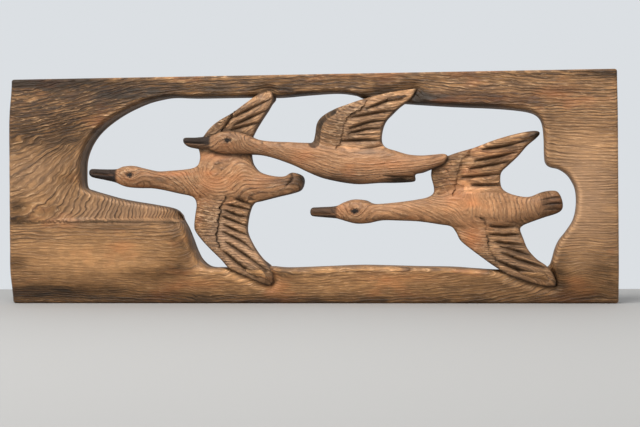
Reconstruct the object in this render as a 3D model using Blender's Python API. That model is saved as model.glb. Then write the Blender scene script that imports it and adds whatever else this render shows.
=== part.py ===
"""An openwork wood relief: three long-necked birds fly through the opening of one carved board.

The whole work is one piece of wood. Metres, +Z up, front towards -Y. The origin is on the flat
back of the top rail, half way along it.

The outlines are drawn as on a sheet laid over the front of the board: X from its left end, Z from
its lower edge, on a sheet SHEET_LENGTH by SHEET_HEIGHT. They are shares of the board's own length
and height. Depths, widths of rims, grooves and walls are sizes of their own.
"""
import math

import bmesh
import bpy
import numpy as np
from mathutils import Vector, geometry

# The board
BOARD_LENGTH = 0.950
BOARD_HEIGHT = 0.356
BOARD_THICKNESS = 0.050
CORNER_RADIUS = 0.004
END_ROUND_WIDTH = 0.004
END_ROUND_DROP = 0.003
TOP_SHOULDER_WIDTH = 0.075
TOP_SHOULDER_DROP = 0.014
BOTTOM_SHOULDER_WIDTH = 0.060
BOTTOM_SHOULDER_DROP = 0.015

# The rim of the opening
RIM_WIDTH = 0.007
RIM_DROP = 0.012
LOBE_ROUND_WIDTH = 0.030
LOBE_ROUND_DROP = 0.020
LOBE_ROUND_FLOOR = 0.020

# The hollowed slope on the left, which runs down to the right above a crease
SLOPE_DEPTH = 0.024
SLOPE_STEP_WIDTH = 0.006

# The birds. Their levels are measured back from the face of the board
BIRD_1_LEVEL = 0.013
BIRD_2_LEVEL = 0.0095
BIRD_3_LEVEL = 0.013
WING_TIP_LEVEL = 0.0038
WING_TIP_EDGE_DROP = 0.002
BODY_RISE = 0.60
BODY_RISE_LIMIT = 0.0095
BIRD_EDGE_WIDTH = 0.006
BIRD_EDGE_DROP = 0.0045
WING_SWELL = 0.0035
WING_SWELL_WIDTH = 0.022
BODY_WING_BLEND = 0.004
BIRD_BACK_EDGE = 0.021
BIRD_BACK_MIDDLE = 0.009
BIRD_BACK_ROUND = 0.012

# The carved lines
FEATHER_STEP = 0.003
FEATHER_SLOPE = 0.034
GROOVE_WIDTH = 0.0052
GROOVE_DEPTH = 0.003
CREASE_SHARE = 0.7
TAPER_END = 0.02
EYE_RADIUS = 0.005
EYE_DEPTH = 0.0022
GROUND_WIDTH = 0.015
GROUND_DEPTH = 0.0065
STEP_FOOT = 0.0014

# How fine the faces are
OUTLINE_SAG = 0.00045
OUTLINE_LONGEST = 0.024
FRAME_GRID = 0.036
SHOULDER_ROWS = (0.36, 0.62, 1.0)
BIRD_GRID = 0.0105
BACK_GRID = 0.030
BACK_BIRD_GRID = 0.016
BACK_RIM_STEP = 0.008
ROW_GAP = 0.0009
GRID_GAP = 0.0035
FRONT_CLOSEST = 0.0022
BACK_GAP = 0.003
BACK_RIM_GAP = 0.001
BACK_CLOSEST = 0.006
ON_LINE = 1e-5

# The drawing sheet, in millimetres
SHEET_LENGTH = 950.0
SHEET_HEIGHT = 356.0
SHEET_ORIGIN = (475.0, 340.0)
RAIL_BOTTOM = 57.0
RAIL_TOP = 321.0
RAIL_REACH = 60.0
BACK_REACH = 12.0

OPENING = [
    (116, 184), (114.5, 206), (116.5, 230), (127, 255), (146, 277), (177, 298.5),
    (213, 315), (240, 322), (262, 324.5), (300, 323), (377, 323), (430, 322), (474, 325),
    (520, 327), (548, 323.5), (562, 318), (595, 312), (628.5, 309), (698, 303.5), (759, 300),
    (800, 296), (821, 291.5), (832, 284), (837, 272), (839, 252), (839.5, 226), (841.5, 214.5),
    (848, 208.5), (861, 205), (873, 197), (881, 186), (886.5, 172), (887.5, 150), (883, 128),
    (872, 110), (861, 96), (854.5, 82), (850, 66), (845, 56), (832, 52), (800, 51.5),
    (767, 51), (733, 53), (698, 55.5), (647, 56.5), (576, 58.5), (545, 58.5), (506, 57),
    (443, 55), (413, 57), (380, 55.5), (341, 55.5), (318, 56.8), (304, 66.7), (295.7, 81),
    (288, 101), (281.5, 117), (274, 131), (270, 140), (257.5, 149), (226, 155.5), (196, 160.5),
    (171, 165.5), (144, 173), (126, 178.5),
]

SLOPE_LEFT = 55.0
SLOPE_RIGHT = 272.0
SLOPE_TOP = (178.0, 225.0)
SLOPE_REACH = 1.08
LEFT_PART_END = 330.0
CREASE = [(40, 129), (110, 129), (180, 128.5), (240, 128), (268, 127)]
LOBE_ROUND = [(270, 138), (281, 117), (288, 101), (295, 82), (304, 67)]

# Each bird: its place on the sheet, outline, spine as (x, z, half width), the areas of long
# feathers, each starting with the scalloped line it steps down from, and the grooves between them
BIRD_1 = dict(
    place=(-3.0, 0.0),
    level=BIRD_1_LEVEL,
    outline=[
        (129, 206), (132, 212), (150, 211.7), (173, 211.7), (184, 215.5), (200, 216.6),
        (215, 213), (240, 207.7), (262, 208.4), (285, 210), (300, 212.7), (307, 219),
        (308, 232), (306, 247), (313, 260.3), (325, 275), (340, 286), (360, 297), (386, 315.7),
        (398, 324), (412, 330.3), (422, 328.5), (424.5, 317), (417.5, 302.5), (407, 287),
        (397, 271), (390.5, 257), (389, 243), (390, 225), (394, 214), (404, 204), (424, 198.4),
        (442, 197.7), (452, 203.2), (463, 201.6), (471, 196), (472, 186), (467, 176),
        (455, 171.2), (430, 165.4), (405, 159.3), (393, 156), (386.5, 144), (382.5, 125),
        (382.5, 110), (389.5, 93.5), (399, 78), (412, 62), (422, 48), (424, 35), (418, 28),
        (407, 30.5), (390, 38.3), (367, 48.5), (355, 55), (342, 69), (325, 84.5), (310, 99.5),
        (300, 112.7), (298, 122), (300, 140), (302, 154), (299, 164), (291, 168.6),
        (275, 172), (250, 177.7), (230, 180.8), (205, 181.6), (188, 184), (172, 190.4),
        (155, 194.5), (135, 198.8), (130.3, 202),
    ],
    spine=[
        (131, 205.5, 5), (170, 201.5, 10), (184, 199.8, 15), (200, 199.2, 17.8), (220, 197, 16),
        (240, 194.2, 14), (270, 191.5, 18.5), (300, 192.5, 26), (330, 198, 36), (368, 194, 33),
        (400, 184, 22), (430, 181, 17), (458, 186, 15.5),
    ],
    feathers=[
        [(341, 268), (350, 278), (357, 288), (362, 298), (377, 312), (400, 334), (440, 330),
         (420, 270), (394, 248), (366, 262)],
        [(350, 166), (344, 156), (339, 151), (341, 144), (337, 132), (337, 120), (334, 110),
         (335, 98), (340, 88), (346, 78), (352, 66), (364, 52), (400, 24), (440, 20),
         (430, 60), (395, 110), (400, 160)],
    ],
    grooves=[
        [(366, 292), (385, 300.7), (404, 309.5), (424, 318.8)],
        [(370, 280.7), (393, 291), (417, 300.5)],
        [(365, 272), (385, 277.5), (405, 282)],
        [(372, 161), (390, 153.5)],
        [(358, 152.3), (372, 149.5), (388, 145.2)],
        [(354, 142.5), (370, 136.3), (385, 133.8)],
        [(351, 132.5), (366, 126.5), (383, 119.7)],
        [(352, 119.5), (367, 112.5), (384, 106)],
        [(351, 108), (373, 96.8), (393, 82.5)],
        [(355, 91.8), (378, 76.8), (413, 52.5)],
        [(352, 76.5), (375, 58.5), (399, 43.5)],
    ],
    creases=[[(456, 198), (449, 187), (445, 182)], [(303, 250), (322, 249)]],
    eyes=[(198, 202)],
)

BIRD_2 = dict(
    place=(-2.5, 0.5),
    level=BIRD_2_LEVEL,
    outline=[
        (281.5, 254), (283.5, 259), (300, 259.3), (313, 260.3), (329, 262), (338, 266.8),
        (353, 268.6), (372, 267), (386, 261.4), (400, 255.2), (420, 251.8), (450, 250.3),
        (475, 248.9), (486, 250), (489.7, 262), (492.5, 277.5), (500, 288.4), (516, 298.4),
        (540, 307), (565, 315), (600, 323.5), (625, 327.5), (646, 330), (645, 324),
        (637, 313), (622, 302.3), (610, 291), (601, 281.8), (595.5, 270), (593, 255),
        (595, 245), (602, 239.3), (615, 235), (635, 229), (655, 227.2), (675, 228.4),
        (690, 229.2), (695.3, 225), (691.5, 216), (682, 210), (668, 205), (657, 200.8),
        (645, 198), (645, 190), (640, 186.8), (615, 185.5), (590, 185.5), (560, 183.9),
        (540, 185.5), (520, 189.2), (500, 194.3), (480, 202.7), (460, 212.5), (440, 220.4),
        (420, 227), (400, 231), (375, 231.8), (345, 232.5), (330, 236.6), (310, 240.3),
        (292, 244), (284.3, 248.5),
    ],
    spine=[
        (284, 253.5, 5), (318, 250.7, 9.5), (334, 250.5, 15), (353, 250.5, 18.5),
        (374, 248.8, 17.5), (398, 243, 12.5), (440, 235.6, 15), (480, 226, 23), (520, 215, 27),
        (560, 211, 28), (600, 211, 25), (635, 211.5, 17), (665, 214.5, 13), (688, 220.5, 9),
    ],
    feathers=[
        [(522, 239), (530, 247), (531, 256), (535, 267), (537, 277), (543, 288), (553, 295),
         (562, 299), (567, 306), (574, 316), (600, 332), (660, 336), (640, 300), (604, 270),
         (600, 240), (560, 237)],
    ],
    grooves=[
        [(578, 301.8), (605, 311.8), (632, 318)],
        [(556, 288), (585, 292.7), (613, 296)],
        [(552, 272), (575, 279), (599, 281)],
        [(550, 263.4), (572, 268.3), (592, 269)],
        [(540, 250.5), (565, 251.5), (592, 250.5)],
    ],
    creases=[[(303, 250), (324, 248.8)], [(600, 196), (625, 194.5), (642, 194)]],
    eyes=[(354, 254)],
)

BIRD_3 = dict(
    place=(-1.0, 0.0),
    level=BIRD_3_LEVEL,
    outline=[
        (480, 144), (483, 148.4), (495, 149.3), (520, 150.8), (533, 156.6), (548, 160.8),
        (566, 159.5), (577.5, 154.5), (590, 153.8), (620, 156.4), (650, 160.5), (664, 164),
        (671.5, 170), (671.8, 180), (668, 197), (671, 211), (682, 221.5), (697, 227.7),
        (712, 232.6), (735, 239), (765, 250), (795, 258.4), (820, 263), (832, 262.5),
        (834, 258.5), (828, 251.8), (815, 241), (800.8, 225), (786, 211.2), (776, 201.5),
        (773.7, 190), (776, 177), (785.5, 169.2), (802, 164), (818, 162.9), (836, 169.5),
        (851, 172), (861, 169.6), (867, 158), (867.8, 145), (860, 137.5), (840, 131),
        (820, 124), (808, 119), (803.5, 113), (808, 99.5), (815, 82.7), (828, 67.7),
        (844, 55.5), (854, 42), (857, 30), (852, 25.5), (840, 26.5), (825, 30), (808, 35.5),
        (785, 44.3), (762.5, 58.2), (745.8, 70.3), (730, 82), (713, 96), (706, 108.7),
        (698, 118), (680, 121.4), (650, 125.9), (620, 127.5), (592, 128), (570, 123.9),
        (552, 123.3), (536.7, 127), (522, 131.3), (505, 133), (484, 135.3), (480.3, 139),
    ],
    spine=[
        (483, 141.8, 5), (516, 141, 9.5), (534, 141.6, 15), (553, 142, 18.8), (576, 140.3, 14.5),
        (594, 140.8, 12.8), (640, 142.5, 15.5), (680, 143.5, 22), (715, 147, 30),
        (755, 148, 31), (790, 147, 24), (825, 146.5, 17), (855, 154, 15),
    ],
    feathers=[
        [(700, 166), (703, 173), (706, 184), (709, 195), (712, 209), (716, 221), (725, 228),
         (729, 238), (740, 246), (830, 275), (850, 262), (790, 205), (782, 178), (740, 170)],
        [(736, 134), (748, 127), (752, 116.5), (751, 110), (754, 99), (755, 87), (760, 77),
         (767, 65), (776, 50), (800, 32), (850, 15), (870, 30), (830, 75), (812, 116),
         (775, 128)],
    ],
    grooves=[
        [(755, 236.3), (780, 239.7), (815, 248.6)],
        [(743, 219), (770, 224), (799, 231)],
        [(735, 207.3), (760, 211.4), (786, 216)],
        [(723, 193.5), (748, 195.3), (775, 197.6)],
        [(738, 181), (775, 180.5)],
        [(765, 117.7), (780, 116.8), (800, 118.3)],
        [(765, 105), (782, 104), (805, 105.5)],
        [(772, 93.3), (788, 90.7), (808, 89)],
        [(781, 84.3), (797, 79.8), (817, 73.5)],
        [(783, 74), (808, 64.3), (838, 55)],
        [(776, 62), (800, 51.8), (840, 40)],
    ],
    creases=[[(483, 138.5), (520, 138)], [(840, 158), (866, 157.5)], [(840, 149.5), (867, 149)],
             [(842, 143), (864, 142.5)]],
    eyes=[(551, 143)],
)

BIRDS = [BIRD_1, BIRD_2, BIRD_3]

# The crevice beside the lowest wing tip, and soft hollows cut into the rails beside the wing tips,
# as (x, z, radius, depth), the last two in metres
CREVICE = [(849, 62), (855, 38), (858, 24)]
CREVICE_WIDTH = 0.008
CREVICE_DEPTH = 0.010
HOLLOWS = [
    (434, 40, 0.014, 0.004),
    (437, 323, 0.012, 0.003),
    (652, 322, 0.012, 0.003),
]

# The look of the wood's stain
WOOD_COLOUR = (0.30, 0.155, 0.07, 1.0)
WOOD_ROUGHNESS = 0.62


def to_metres(points):
    """Turns points on the sheet into plan metres, measured from the origin."""
    sheet = np.asarray(points, dtype=float)
    across = (sheet[:, 0] - SHEET_ORIGIN[0]) * BOARD_LENGTH / SHEET_LENGTH
    up = (sheet[:, 1] - SHEET_ORIGIN[1]) * BOARD_HEIGHT / SHEET_HEIGHT
    return np.stack([across, up], axis=1)


def sheet_height(plan):
    """The height on the sheet of plan points."""
    return plan[:, 1] * SHEET_HEIGHT / BOARD_HEIGHT + SHEET_ORIGIN[1]


def sheet_length(plan):
    """The length along the sheet of plan points."""
    return plan[:, 0] * SHEET_LENGTH / BOARD_LENGTH + SHEET_ORIGIN[0]


def ease(share):
    """A smooth rise from 0 to 1."""
    held = np.clip(share, 0.0, 1.0)
    return held * held * (3.0 - 2.0 * held)


def round_over(distance, width):
    """The share of a rounded edge's drop that is left at a distance from the edge."""
    share = np.clip(1.0 - distance / width, 0.0, 1.0)
    return 1.0 - np.sqrt(1.0 - share * share)


def smooth_curve(points, closed, pieces=12):
    """A smooth curve through the points, as a close row of points."""
    if closed:
        ring = np.vstack([points[-1:], points, points[:2]])
    else:
        ring = np.vstack([2 * points[:1] - points[1:2], points, 2 * points[-1:] - points[-2:-1]])
    share = (np.arange(pieces) / pieces)[:, None]
    rows = []
    for a, b, c, d in zip(ring, ring[1:], ring[2:], ring[3:]):
        bend = 2 * b + (c - a) * share + (2 * a - 5 * b + 4 * c - d) * share ** 2
        rows.append((bend + (3 * b - a - 3 * c + d) * share ** 3) / 2)
    if not closed:
        rows.append(points[-1:])
    return np.vstack(rows)


def thin_out(row, sag, longest):
    """Keeps the points of a row that hold its shape to within sag, no further apart than longest."""
    kept = [0]
    start = 0
    for end in range(2, len(row)):
        chord = row[end] - row[start]
        length = math.hypot(*chord)
        between = row[start + 1:end] - row[start]
        off = np.abs(between[:, 0] * chord[1] - between[:, 1] * chord[0]) / max(length, 1e-9)
        if off.max() > sag or length > longest:
            start = end - 1
            kept.append(start)
    kept.append(len(row) - 1)
    return row[kept]


def drawn(points, closed=True, place=(0.0, 0.0)):
    """A smooth outline or line from points on the sheet, in plan metres."""
    moved = [(x + place[0], z + place[1]) for x, z in points]
    return thin_out(smooth_curve(to_metres(moved), closed), OUTLINE_SAG, OUTLINE_LONGEST)


def segments(line, closed):
    """The start and end points of a line's pieces."""
    if closed:
        return line, np.roll(line, -1, axis=0)
    return line[:-1], line[1:]


def distance_to(plan, line, closed=False):
    """Each point's distance to a line, and how far along the line its nearest point lies."""
    starts, ends = segments(line, closed)
    along = ends - starts
    lengths = np.hypot(along[:, 0], along[:, 1])
    before = np.concatenate([[0.0], np.cumsum(lengths)[:-1]])
    offset = plan[:, None, :] - starts[None, :, :]
    share = (offset * along[None]).sum(2) / np.maximum(lengths ** 2, 1e-18)[None]
    share = np.clip(share, 0.0, 1.0)
    gap = offset - share[:, :, None] * along[None]
    distances = np.hypot(gap[:, :, 0], gap[:, :, 1])
    nearest = distances.argmin(1)
    rows = np.arange(len(plan))
    position = before[nearest] + share[rows, nearest] * lengths[nearest]
    return distances[rows, nearest], position / lengths.sum()


def inside(plan, outline):
    """Whether each point lies inside a closed outline."""
    starts, ends = segments(outline, True)
    x, z = plan[:, 0][:, None], plan[:, 1][:, None]
    crosses = (starts[:, 1] > z) != (ends[:, 1] > z)
    rise = np.where(ends[:, 1] == starts[:, 1], 1e-12, ends[:, 1] - starts[:, 1])
    at = starts[:, 0] + (z - starts[:, 1]) * (ends[:, 0] - starts[:, 0]) / rise
    return (crosses & (x < at)).sum(1) % 2 == 1


def depth_inside(plan, outline):
    """Each point's distance to an outline, negative outside it."""
    distances, _ = distance_to(plan, outline, closed=True)
    return np.where(inside(plan, outline), distances, -distances)


def board_outline():
    """The board's outline, with small rounded corners."""
    left, low = to_metres([(0, 0)])[0]
    right, high = to_metres([(SHEET_LENGTH, SHEET_HEIGHT)])[0]
    corners = [(left, low, 180), (right, low, 270), (right, high, 0), (left, high, 90)]
    points = []
    for x, z, start in corners:
        centre_x = x + (CORNER_RADIUS if x == left else -CORNER_RADIUS)
        centre_z = z + (CORNER_RADIUS if z == low else -CORNER_RADIUS)
        for turn in (0, 30, 60, 90):
            angle = math.radians(start + turn)
            points.append((centre_x + CORNER_RADIUS * math.cos(angle),
                           centre_z + CORNER_RADIUS * math.sin(angle)))
    return np.array(points)


def spread(line, closed, longest):
    """Adds points along a line so that none are further apart than longest."""
    starts, ends = segments(line, closed)
    rows = []
    for start, end in zip(starts, ends):
        count = max(1, math.ceil(math.hypot(*(end - start)) / longest))
        share = (np.arange(count) / count)[:, None]
        rows.append(start + (end - start) * share)
    if not closed:
        rows.append(line[-1:])
    return np.vstack(rows)


def offset_points(outline, distance, closed=True):
    """Points beside an outline, to the inside where the distance is positive."""
    starts, ends = segments(outline, closed)
    along = ends - starts
    along = along / np.maximum(np.hypot(along[:, 0], along[:, 1]), 1e-9)[:, None]
    side = np.stack([-along[:, 1], along[:, 0]], axis=1)
    area = (starts[:, 0] * ends[:, 1] - ends[:, 0] * starts[:, 1]).sum()
    if closed and area < 0:
        side = -side
    middle = (starts + ends) / 2 + side * distance
    corner_side = side + np.roll(side, 1, axis=0)
    corner_side /= np.maximum(np.hypot(corner_side[:, 0], corner_side[:, 1]), 1e-9)[:, None]
    points = np.vstack([middle, starts + corner_side * distance])
    reached, _ = distance_to(points, outline, closed)
    return points[reached > 0.9 * abs(distance)]


class Drawing:
    """Every outline and line of the work, in plan metres."""

    def __init__(self):
        self.board = spread(board_outline(), True, FRAME_GRID)
        self.opening = drawn(OPENING)
        self.crease = drawn(CREASE, closed=False)
        self.lobe = drawn(LOBE_ROUND, closed=False)
        self.crevice = drawn(CREVICE, closed=False)
        self.birds = []
        for bird in BIRDS:
            place = bird["place"]
            spine = to_metres([(x + place[0], z + place[1]) for x, z, _ in bird["spine"]])
            self.birds.append(dict(
                level=bird["level"],
                outline=drawn(bird["outline"], True, place),
                spine=spine,
                widths=np.array([w for _, _, w in bird["spine"]]) * BOARD_HEIGHT / SHEET_HEIGHT,
                feathers=[drawn(area, True, place) for area in bird["feathers"]],
                grooves=[drawn(line, False, place) for line in bird["grooves"]],
                creases=[drawn(line, False, place) for line in bird["creases"]],
                eyes=to_metres([(x + place[0], z + place[1]) for x, z in bird["eyes"]]),
            ))


def board_face(plan):
    """The height of the board's rounded face above its flat back."""
    up = plan[:, 1] - to_metres([(0, 0)])[0][1]
    down = BOARD_HEIGHT - up
    top = TOP_SHOULDER_DROP * (1 + np.cos(math.pi * np.clip(down / TOP_SHOULDER_WIDTH, 0, 1))) / 2
    low = (1 + np.cos(math.pi * np.clip(up / BOTTOM_SHOULDER_WIDTH, 0, 1))) / 2
    return BOARD_THICKNESS - top - BOTTOM_SHOULDER_DROP * low


def slope_drop(plan, drawing):
    """How far the hollowed slope on the left lies below the board's face."""
    x, z = sheet_length(plan), sheet_height(plan)
    along = np.clip((x - SLOPE_LEFT) / (SLOPE_RIGHT - SLOPE_LEFT), 0, SLOPE_REACH)
    upper = ease((SLOPE_TOP[1] - z) / (SLOPE_TOP[1] - SLOPE_TOP[0]))
    crease = np.interp(plan[:, 0], drawing.crease[:, 0], drawing.crease[:, 1])
    step = ease((plan[:, 1] - crease) / SLOPE_STEP_WIDTH)
    return np.where(x < LEFT_PART_END, SLOPE_DEPTH * along * upper * step, 0.0)


def frame_face(plan, drawing):
    """The height of the board around the opening."""
    height = board_face(plan) - slope_drop(plan, drawing)
    to_end, _ = distance_to(plan, drawing.board, closed=True)
    height -= END_ROUND_DROP * round_over(to_end, END_ROUND_WIDTH)
    to_opening, _ = distance_to(plan, drawing.opening, closed=True)
    height -= RIM_DROP * round_over(to_opening, RIM_WIDTH)
    to_lobe, _ = distance_to(plan, drawing.lobe)
    height -= LOBE_ROUND_DROP * round_over(to_lobe, LOBE_ROUND_WIDTH) * (height > LOBE_ROUND_FLOOR)
    for x, z, radius, depth in HOLLOWS:
        reach = plan - to_metres([(x, z)])
        height -= depth * np.exp(-(reach ** 2).sum(1) / radius ** 2)
    for bird in drawing.birds:
        to_bird, _ = distance_to(plan, bird["outline"], closed=True)
        height -= GROUND_DEPTH * ease(1 - to_bird / GROUND_WIDTH)
    height -= cut(plan, drawing.crevice, CREVICE_WIDTH, CREVICE_DEPTH)
    return height


def cut(plan, line, width, depth):
    """The depth of a V groove along a line, running out at both its ends."""
    distances, share = distance_to(plan, line)
    taper = np.sqrt(np.sin(math.pi * np.clip(share, TAPER_END, 1 - TAPER_END)))
    return depth * taper * np.clip(1 - distances / (width / 2 * taper), 0, 1)


def near_rails(plan, reach):
    """0 on the rails, rising to 1 in the middle of the opening."""
    z = sheet_height(plan)
    return ease((z - RAIL_BOTTOM) / reach) * ease((RAIL_TOP - z) / reach)


def bird_face(plan, bird):
    """The height of a bird's front, with its body, wings and feathers."""
    free = near_rails(plan, RAIL_REACH)
    level = WING_TIP_LEVEL + (bird["level"] - WING_TIP_LEVEL) * free
    edge, _ = distance_to(plan, bird["outline"], closed=True)
    to_spine, share = distance_to(plan, bird["spine"])
    steps = np.hypot(*np.diff(bird["spine"], axis=0).T)
    places = np.concatenate([[0.0], np.cumsum(steps)]) / steps.sum()
    half = np.interp(share, places, bird["widths"])
    dome = np.sqrt(np.clip(1 - (to_spine / half) ** 2, 0, 1))
    body = np.minimum(BODY_RISE * half, BODY_RISE_LIMIT) * dome
    wing = WING_SWELL * ease(edge / WING_SWELL_WIDTH)
    overlap = np.clip(BODY_WING_BLEND - np.abs(body - wing), 0, None)
    height = board_face(plan) - level + np.maximum(body, wing) + overlap ** 2 / (4 * BODY_WING_BLEND)
    edge_drop = WING_TIP_EDGE_DROP + (BIRD_EDGE_DROP - WING_TIP_EDGE_DROP) * free
    height -= edge_drop * round_over(edge, BIRD_EDGE_WIDTH)
    for area in bird["feathers"]:
        step_line = area[:len(area) // 2]
        to_step, _ = distance_to(plan, step_line)
        drop = FEATHER_STEP * np.clip(1 - to_step / FEATHER_SLOPE, 0, 1)
        height -= np.where(inside(plan, area), drop, 0.0)
    for line in bird["grooves"]:
        height -= cut(plan, line, GROOVE_WIDTH, GROOVE_DEPTH)
    for line in bird["creases"]:
        height -= cut(plan, line, GROOVE_WIDTH * CREASE_SHARE, GROOVE_DEPTH * CREASE_SHARE)
    for eye in bird["eyes"]:
        reach = np.hypot(*(plan - eye).T) / EYE_RADIUS
        height -= EYE_DEPTH * np.clip(1 - reach, 0, 1)
    return height


def bird_back(plan, bird):
    """How far a bird's back lies in front of the board's back."""
    edge, _ = distance_to(plan, bird["outline"], closed=True)
    middle = 1 - np.exp(-edge / BIRD_BACK_ROUND)
    lift = BIRD_BACK_EDGE + (BIRD_BACK_MIDDLE - BIRD_BACK_EDGE) * middle
    return lift * near_rails(plan, BACK_REACH)


def in_frame(plan, drawing, slack=ON_LINE):
    """Whether points lie on the board around the opening, its edges included."""
    return depth_inside(plan, drawing.opening) < slack


def front_height(plan, drawing):
    """The height of the whole front."""
    height = np.where(in_frame(plan, drawing), frame_face(plan, drawing), 0.0)
    for bird in drawing.birds:
        on_bird = depth_inside(plan, bird["outline"]) > -ON_LINE
        height = np.where(on_bird, np.maximum(height, bird_face(plan, bird)), height)
    return height


def back_height(plan, drawing):
    """The height of the whole back: flat on the board, lifted and rounded behind the birds."""
    height = np.full(len(plan), np.inf)
    for bird in drawing.birds:
        on_bird = depth_inside(plan, bird["outline"]) > -ON_LINE
        height = np.where(on_bird, np.minimum(height, bird_back(plan, bird)), height)
    return np.where(in_frame(plan, drawing), 0.0, height)


def is_solid(plan, drawing):
    """Whether points lie on wood."""
    solid = in_frame(plan, drawing, 0.0)
    for bird in drawing.birds:
        solid |= inside(plan, bird["outline"])
    return solid


def grid_points(outline_box, spacing):
    """Points in staggered rows over a box."""
    low, high = outline_box
    rows = []
    height = spacing * math.sqrt(0.75)
    for index, z in enumerate(np.arange(low[1], high[1], height)):
        start = low[0] + (index % 2) * spacing / 2
        xs = np.arange(start, high[0], spacing)
        rows.append(np.stack([xs, np.full(len(xs), z)], axis=1))
    return np.vstack(rows)


def clear_of(points, lines, distance):
    """The points that keep a distance from all the lines."""
    for line, closed in lines:
        if len(points):
            gap, _ = distance_to(points, line, closed)
            points = points[gap > distance]
    return points


def frame_rows(drawing):
    """Points in level rows over the board, closer together on its rounded shoulders."""
    low, high = drawing.board.min(0), drawing.board.max(0)
    levels = [low[1] + share * BOTTOM_SHOULDER_WIDTH for share in SHOULDER_ROWS]
    above = [high[1] - share * TOP_SHOULDER_WIDTH for share in reversed(SHOULDER_ROWS)]
    middle = max(2, round((above[0] - levels[-1]) / FRAME_GRID))
    levels += list(np.linspace(levels[-1], above[0], middle + 1)[1:-1]) + above
    columns = max(2, round((high[0] - low[0]) / FRAME_GRID))
    xs = np.linspace(low[0], high[0], columns + 1)[1:-1]
    return np.array([(x, z) for z in levels for x in xs])


def apart(points, distance):
    """Leaves out points that lie closer than a distance to one kept before them."""
    kept = []
    cells = {}
    for point in points:
        cell = (int(point[0] // distance), int(point[1] // distance))
        near = [cells.get((cell[0] + i, cell[1] + j)) for i in (-1, 0, 1) for j in (-1, 0, 1)]
        if all(other is None or math.hypot(*(point - other)) > distance for other in near):
            cells[cell] = point
            kept.append(point)
    return np.array(kept)


def triangulate(lines, points):
    """Triangles over closed and open lines and loose points, as plan points and index rows."""
    corners = []
    edges = []
    for line, closed in lines:
        first = len(corners)
        corners.extend(line)
        count = len(line)
        last = count if closed else count - 1
        edges.extend((first + i, first + (i + 1) % count) for i in range(last))
    corners.extend(points)
    vectors = [Vector((float(x), float(z))) for x, z in corners]
    made = geometry.delaunay_2d_cdt(vectors, edges, [], 0, ON_LINE)
    plan = np.array([tuple(v) for v in made[0]])
    return plan, np.array(made[2])


def solid_triangles(plan, triangles, drawing):
    """The triangles that lie on wood."""
    middles = plan[triangles].mean(1)
    return triangles[is_solid(middles, drawing)]


def front_lines(drawing):
    """The lines that the front's edges follow."""
    lines = [(drawing.board, True), (drawing.opening, True), (drawing.crease, False)]
    for bird in drawing.birds:
        lines.append((bird["outline"], True))
        lines += [(area[:len(area) // 2], False) for area in bird["feathers"]]
        lines += [(line, False) for line in bird["grooves"] + bird["creases"]]
    lines.append((drawing.crevice, False))
    return lines


def front_points(drawing, lines):
    """Loose points that give the front its rounded edges, grooves and swelling bodies."""
    low, high = drawing.board.min(0), drawing.board.max(0)
    sets = [offset_points(drawing.opening, -RIM_WIDTH * share) for share in (0.4, 1.1)]
    for bird in drawing.birds:
        sets.append(offset_points(bird["outline"], -STEP_FOOT))
        sets.append(offset_points(bird["outline"], BIRD_EDGE_WIDTH * 0.45))
        for line in bird["grooves"] + bird["creases"]:
            sets.append(offset_points(line, GROOVE_WIDTH / 2, False))
            sets.append(offset_points(line, -GROOVE_WIDTH / 2, False))
        for area in bird["feathers"]:
            step_line = area[:len(area) // 2]
            sets.append(offset_points(step_line, STEP_FOOT, False))
            sets.append(offset_points(step_line, -STEP_FOOT, False))
        for eye in bird["eyes"]:
            turn = np.radians(np.arange(0, 360, 60))
            ring = np.stack([np.cos(turn), np.sin(turn)], axis=1)
            sets.append(np.vstack([eye, eye + EYE_RADIUS * ring]))
    sets.append(offset_points(drawing.crease, SLOPE_STEP_WIDTH, False))
    sets.append(np.clip(drawing.board, low + END_ROUND_WIDTH, high - END_ROUND_WIDTH))
    beside = clear_of(np.vstack(sets), lines, ROW_GAP)
    fine = grid_points((low, high), BIRD_GRID)
    on_birds = np.zeros(len(fine), dtype=bool)
    for bird in drawing.birds:
        on_birds |= depth_inside(fine, bird["outline"]) > 0
    coarse = frame_rows(drawing)
    coarse = coarse[in_frame(coarse, drawing)]
    grids = clear_of(np.vstack([fine[on_birds], coarse]), lines, GRID_GAP)
    points = apart(np.vstack([beside, grids]), FRONT_CLOSEST)
    return points[is_solid(points, drawing)]


def edge_loop_pairs(triangles):
    """The edges that only one triangle has, in that triangle's direction."""
    seen = {}
    for a, b, c in triangles:
        for pair in ((a, b), (b, c), (c, a)):
            seen[pair] = True
    return [pair for pair in seen if (pair[1], pair[0]) not in seen]


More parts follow.
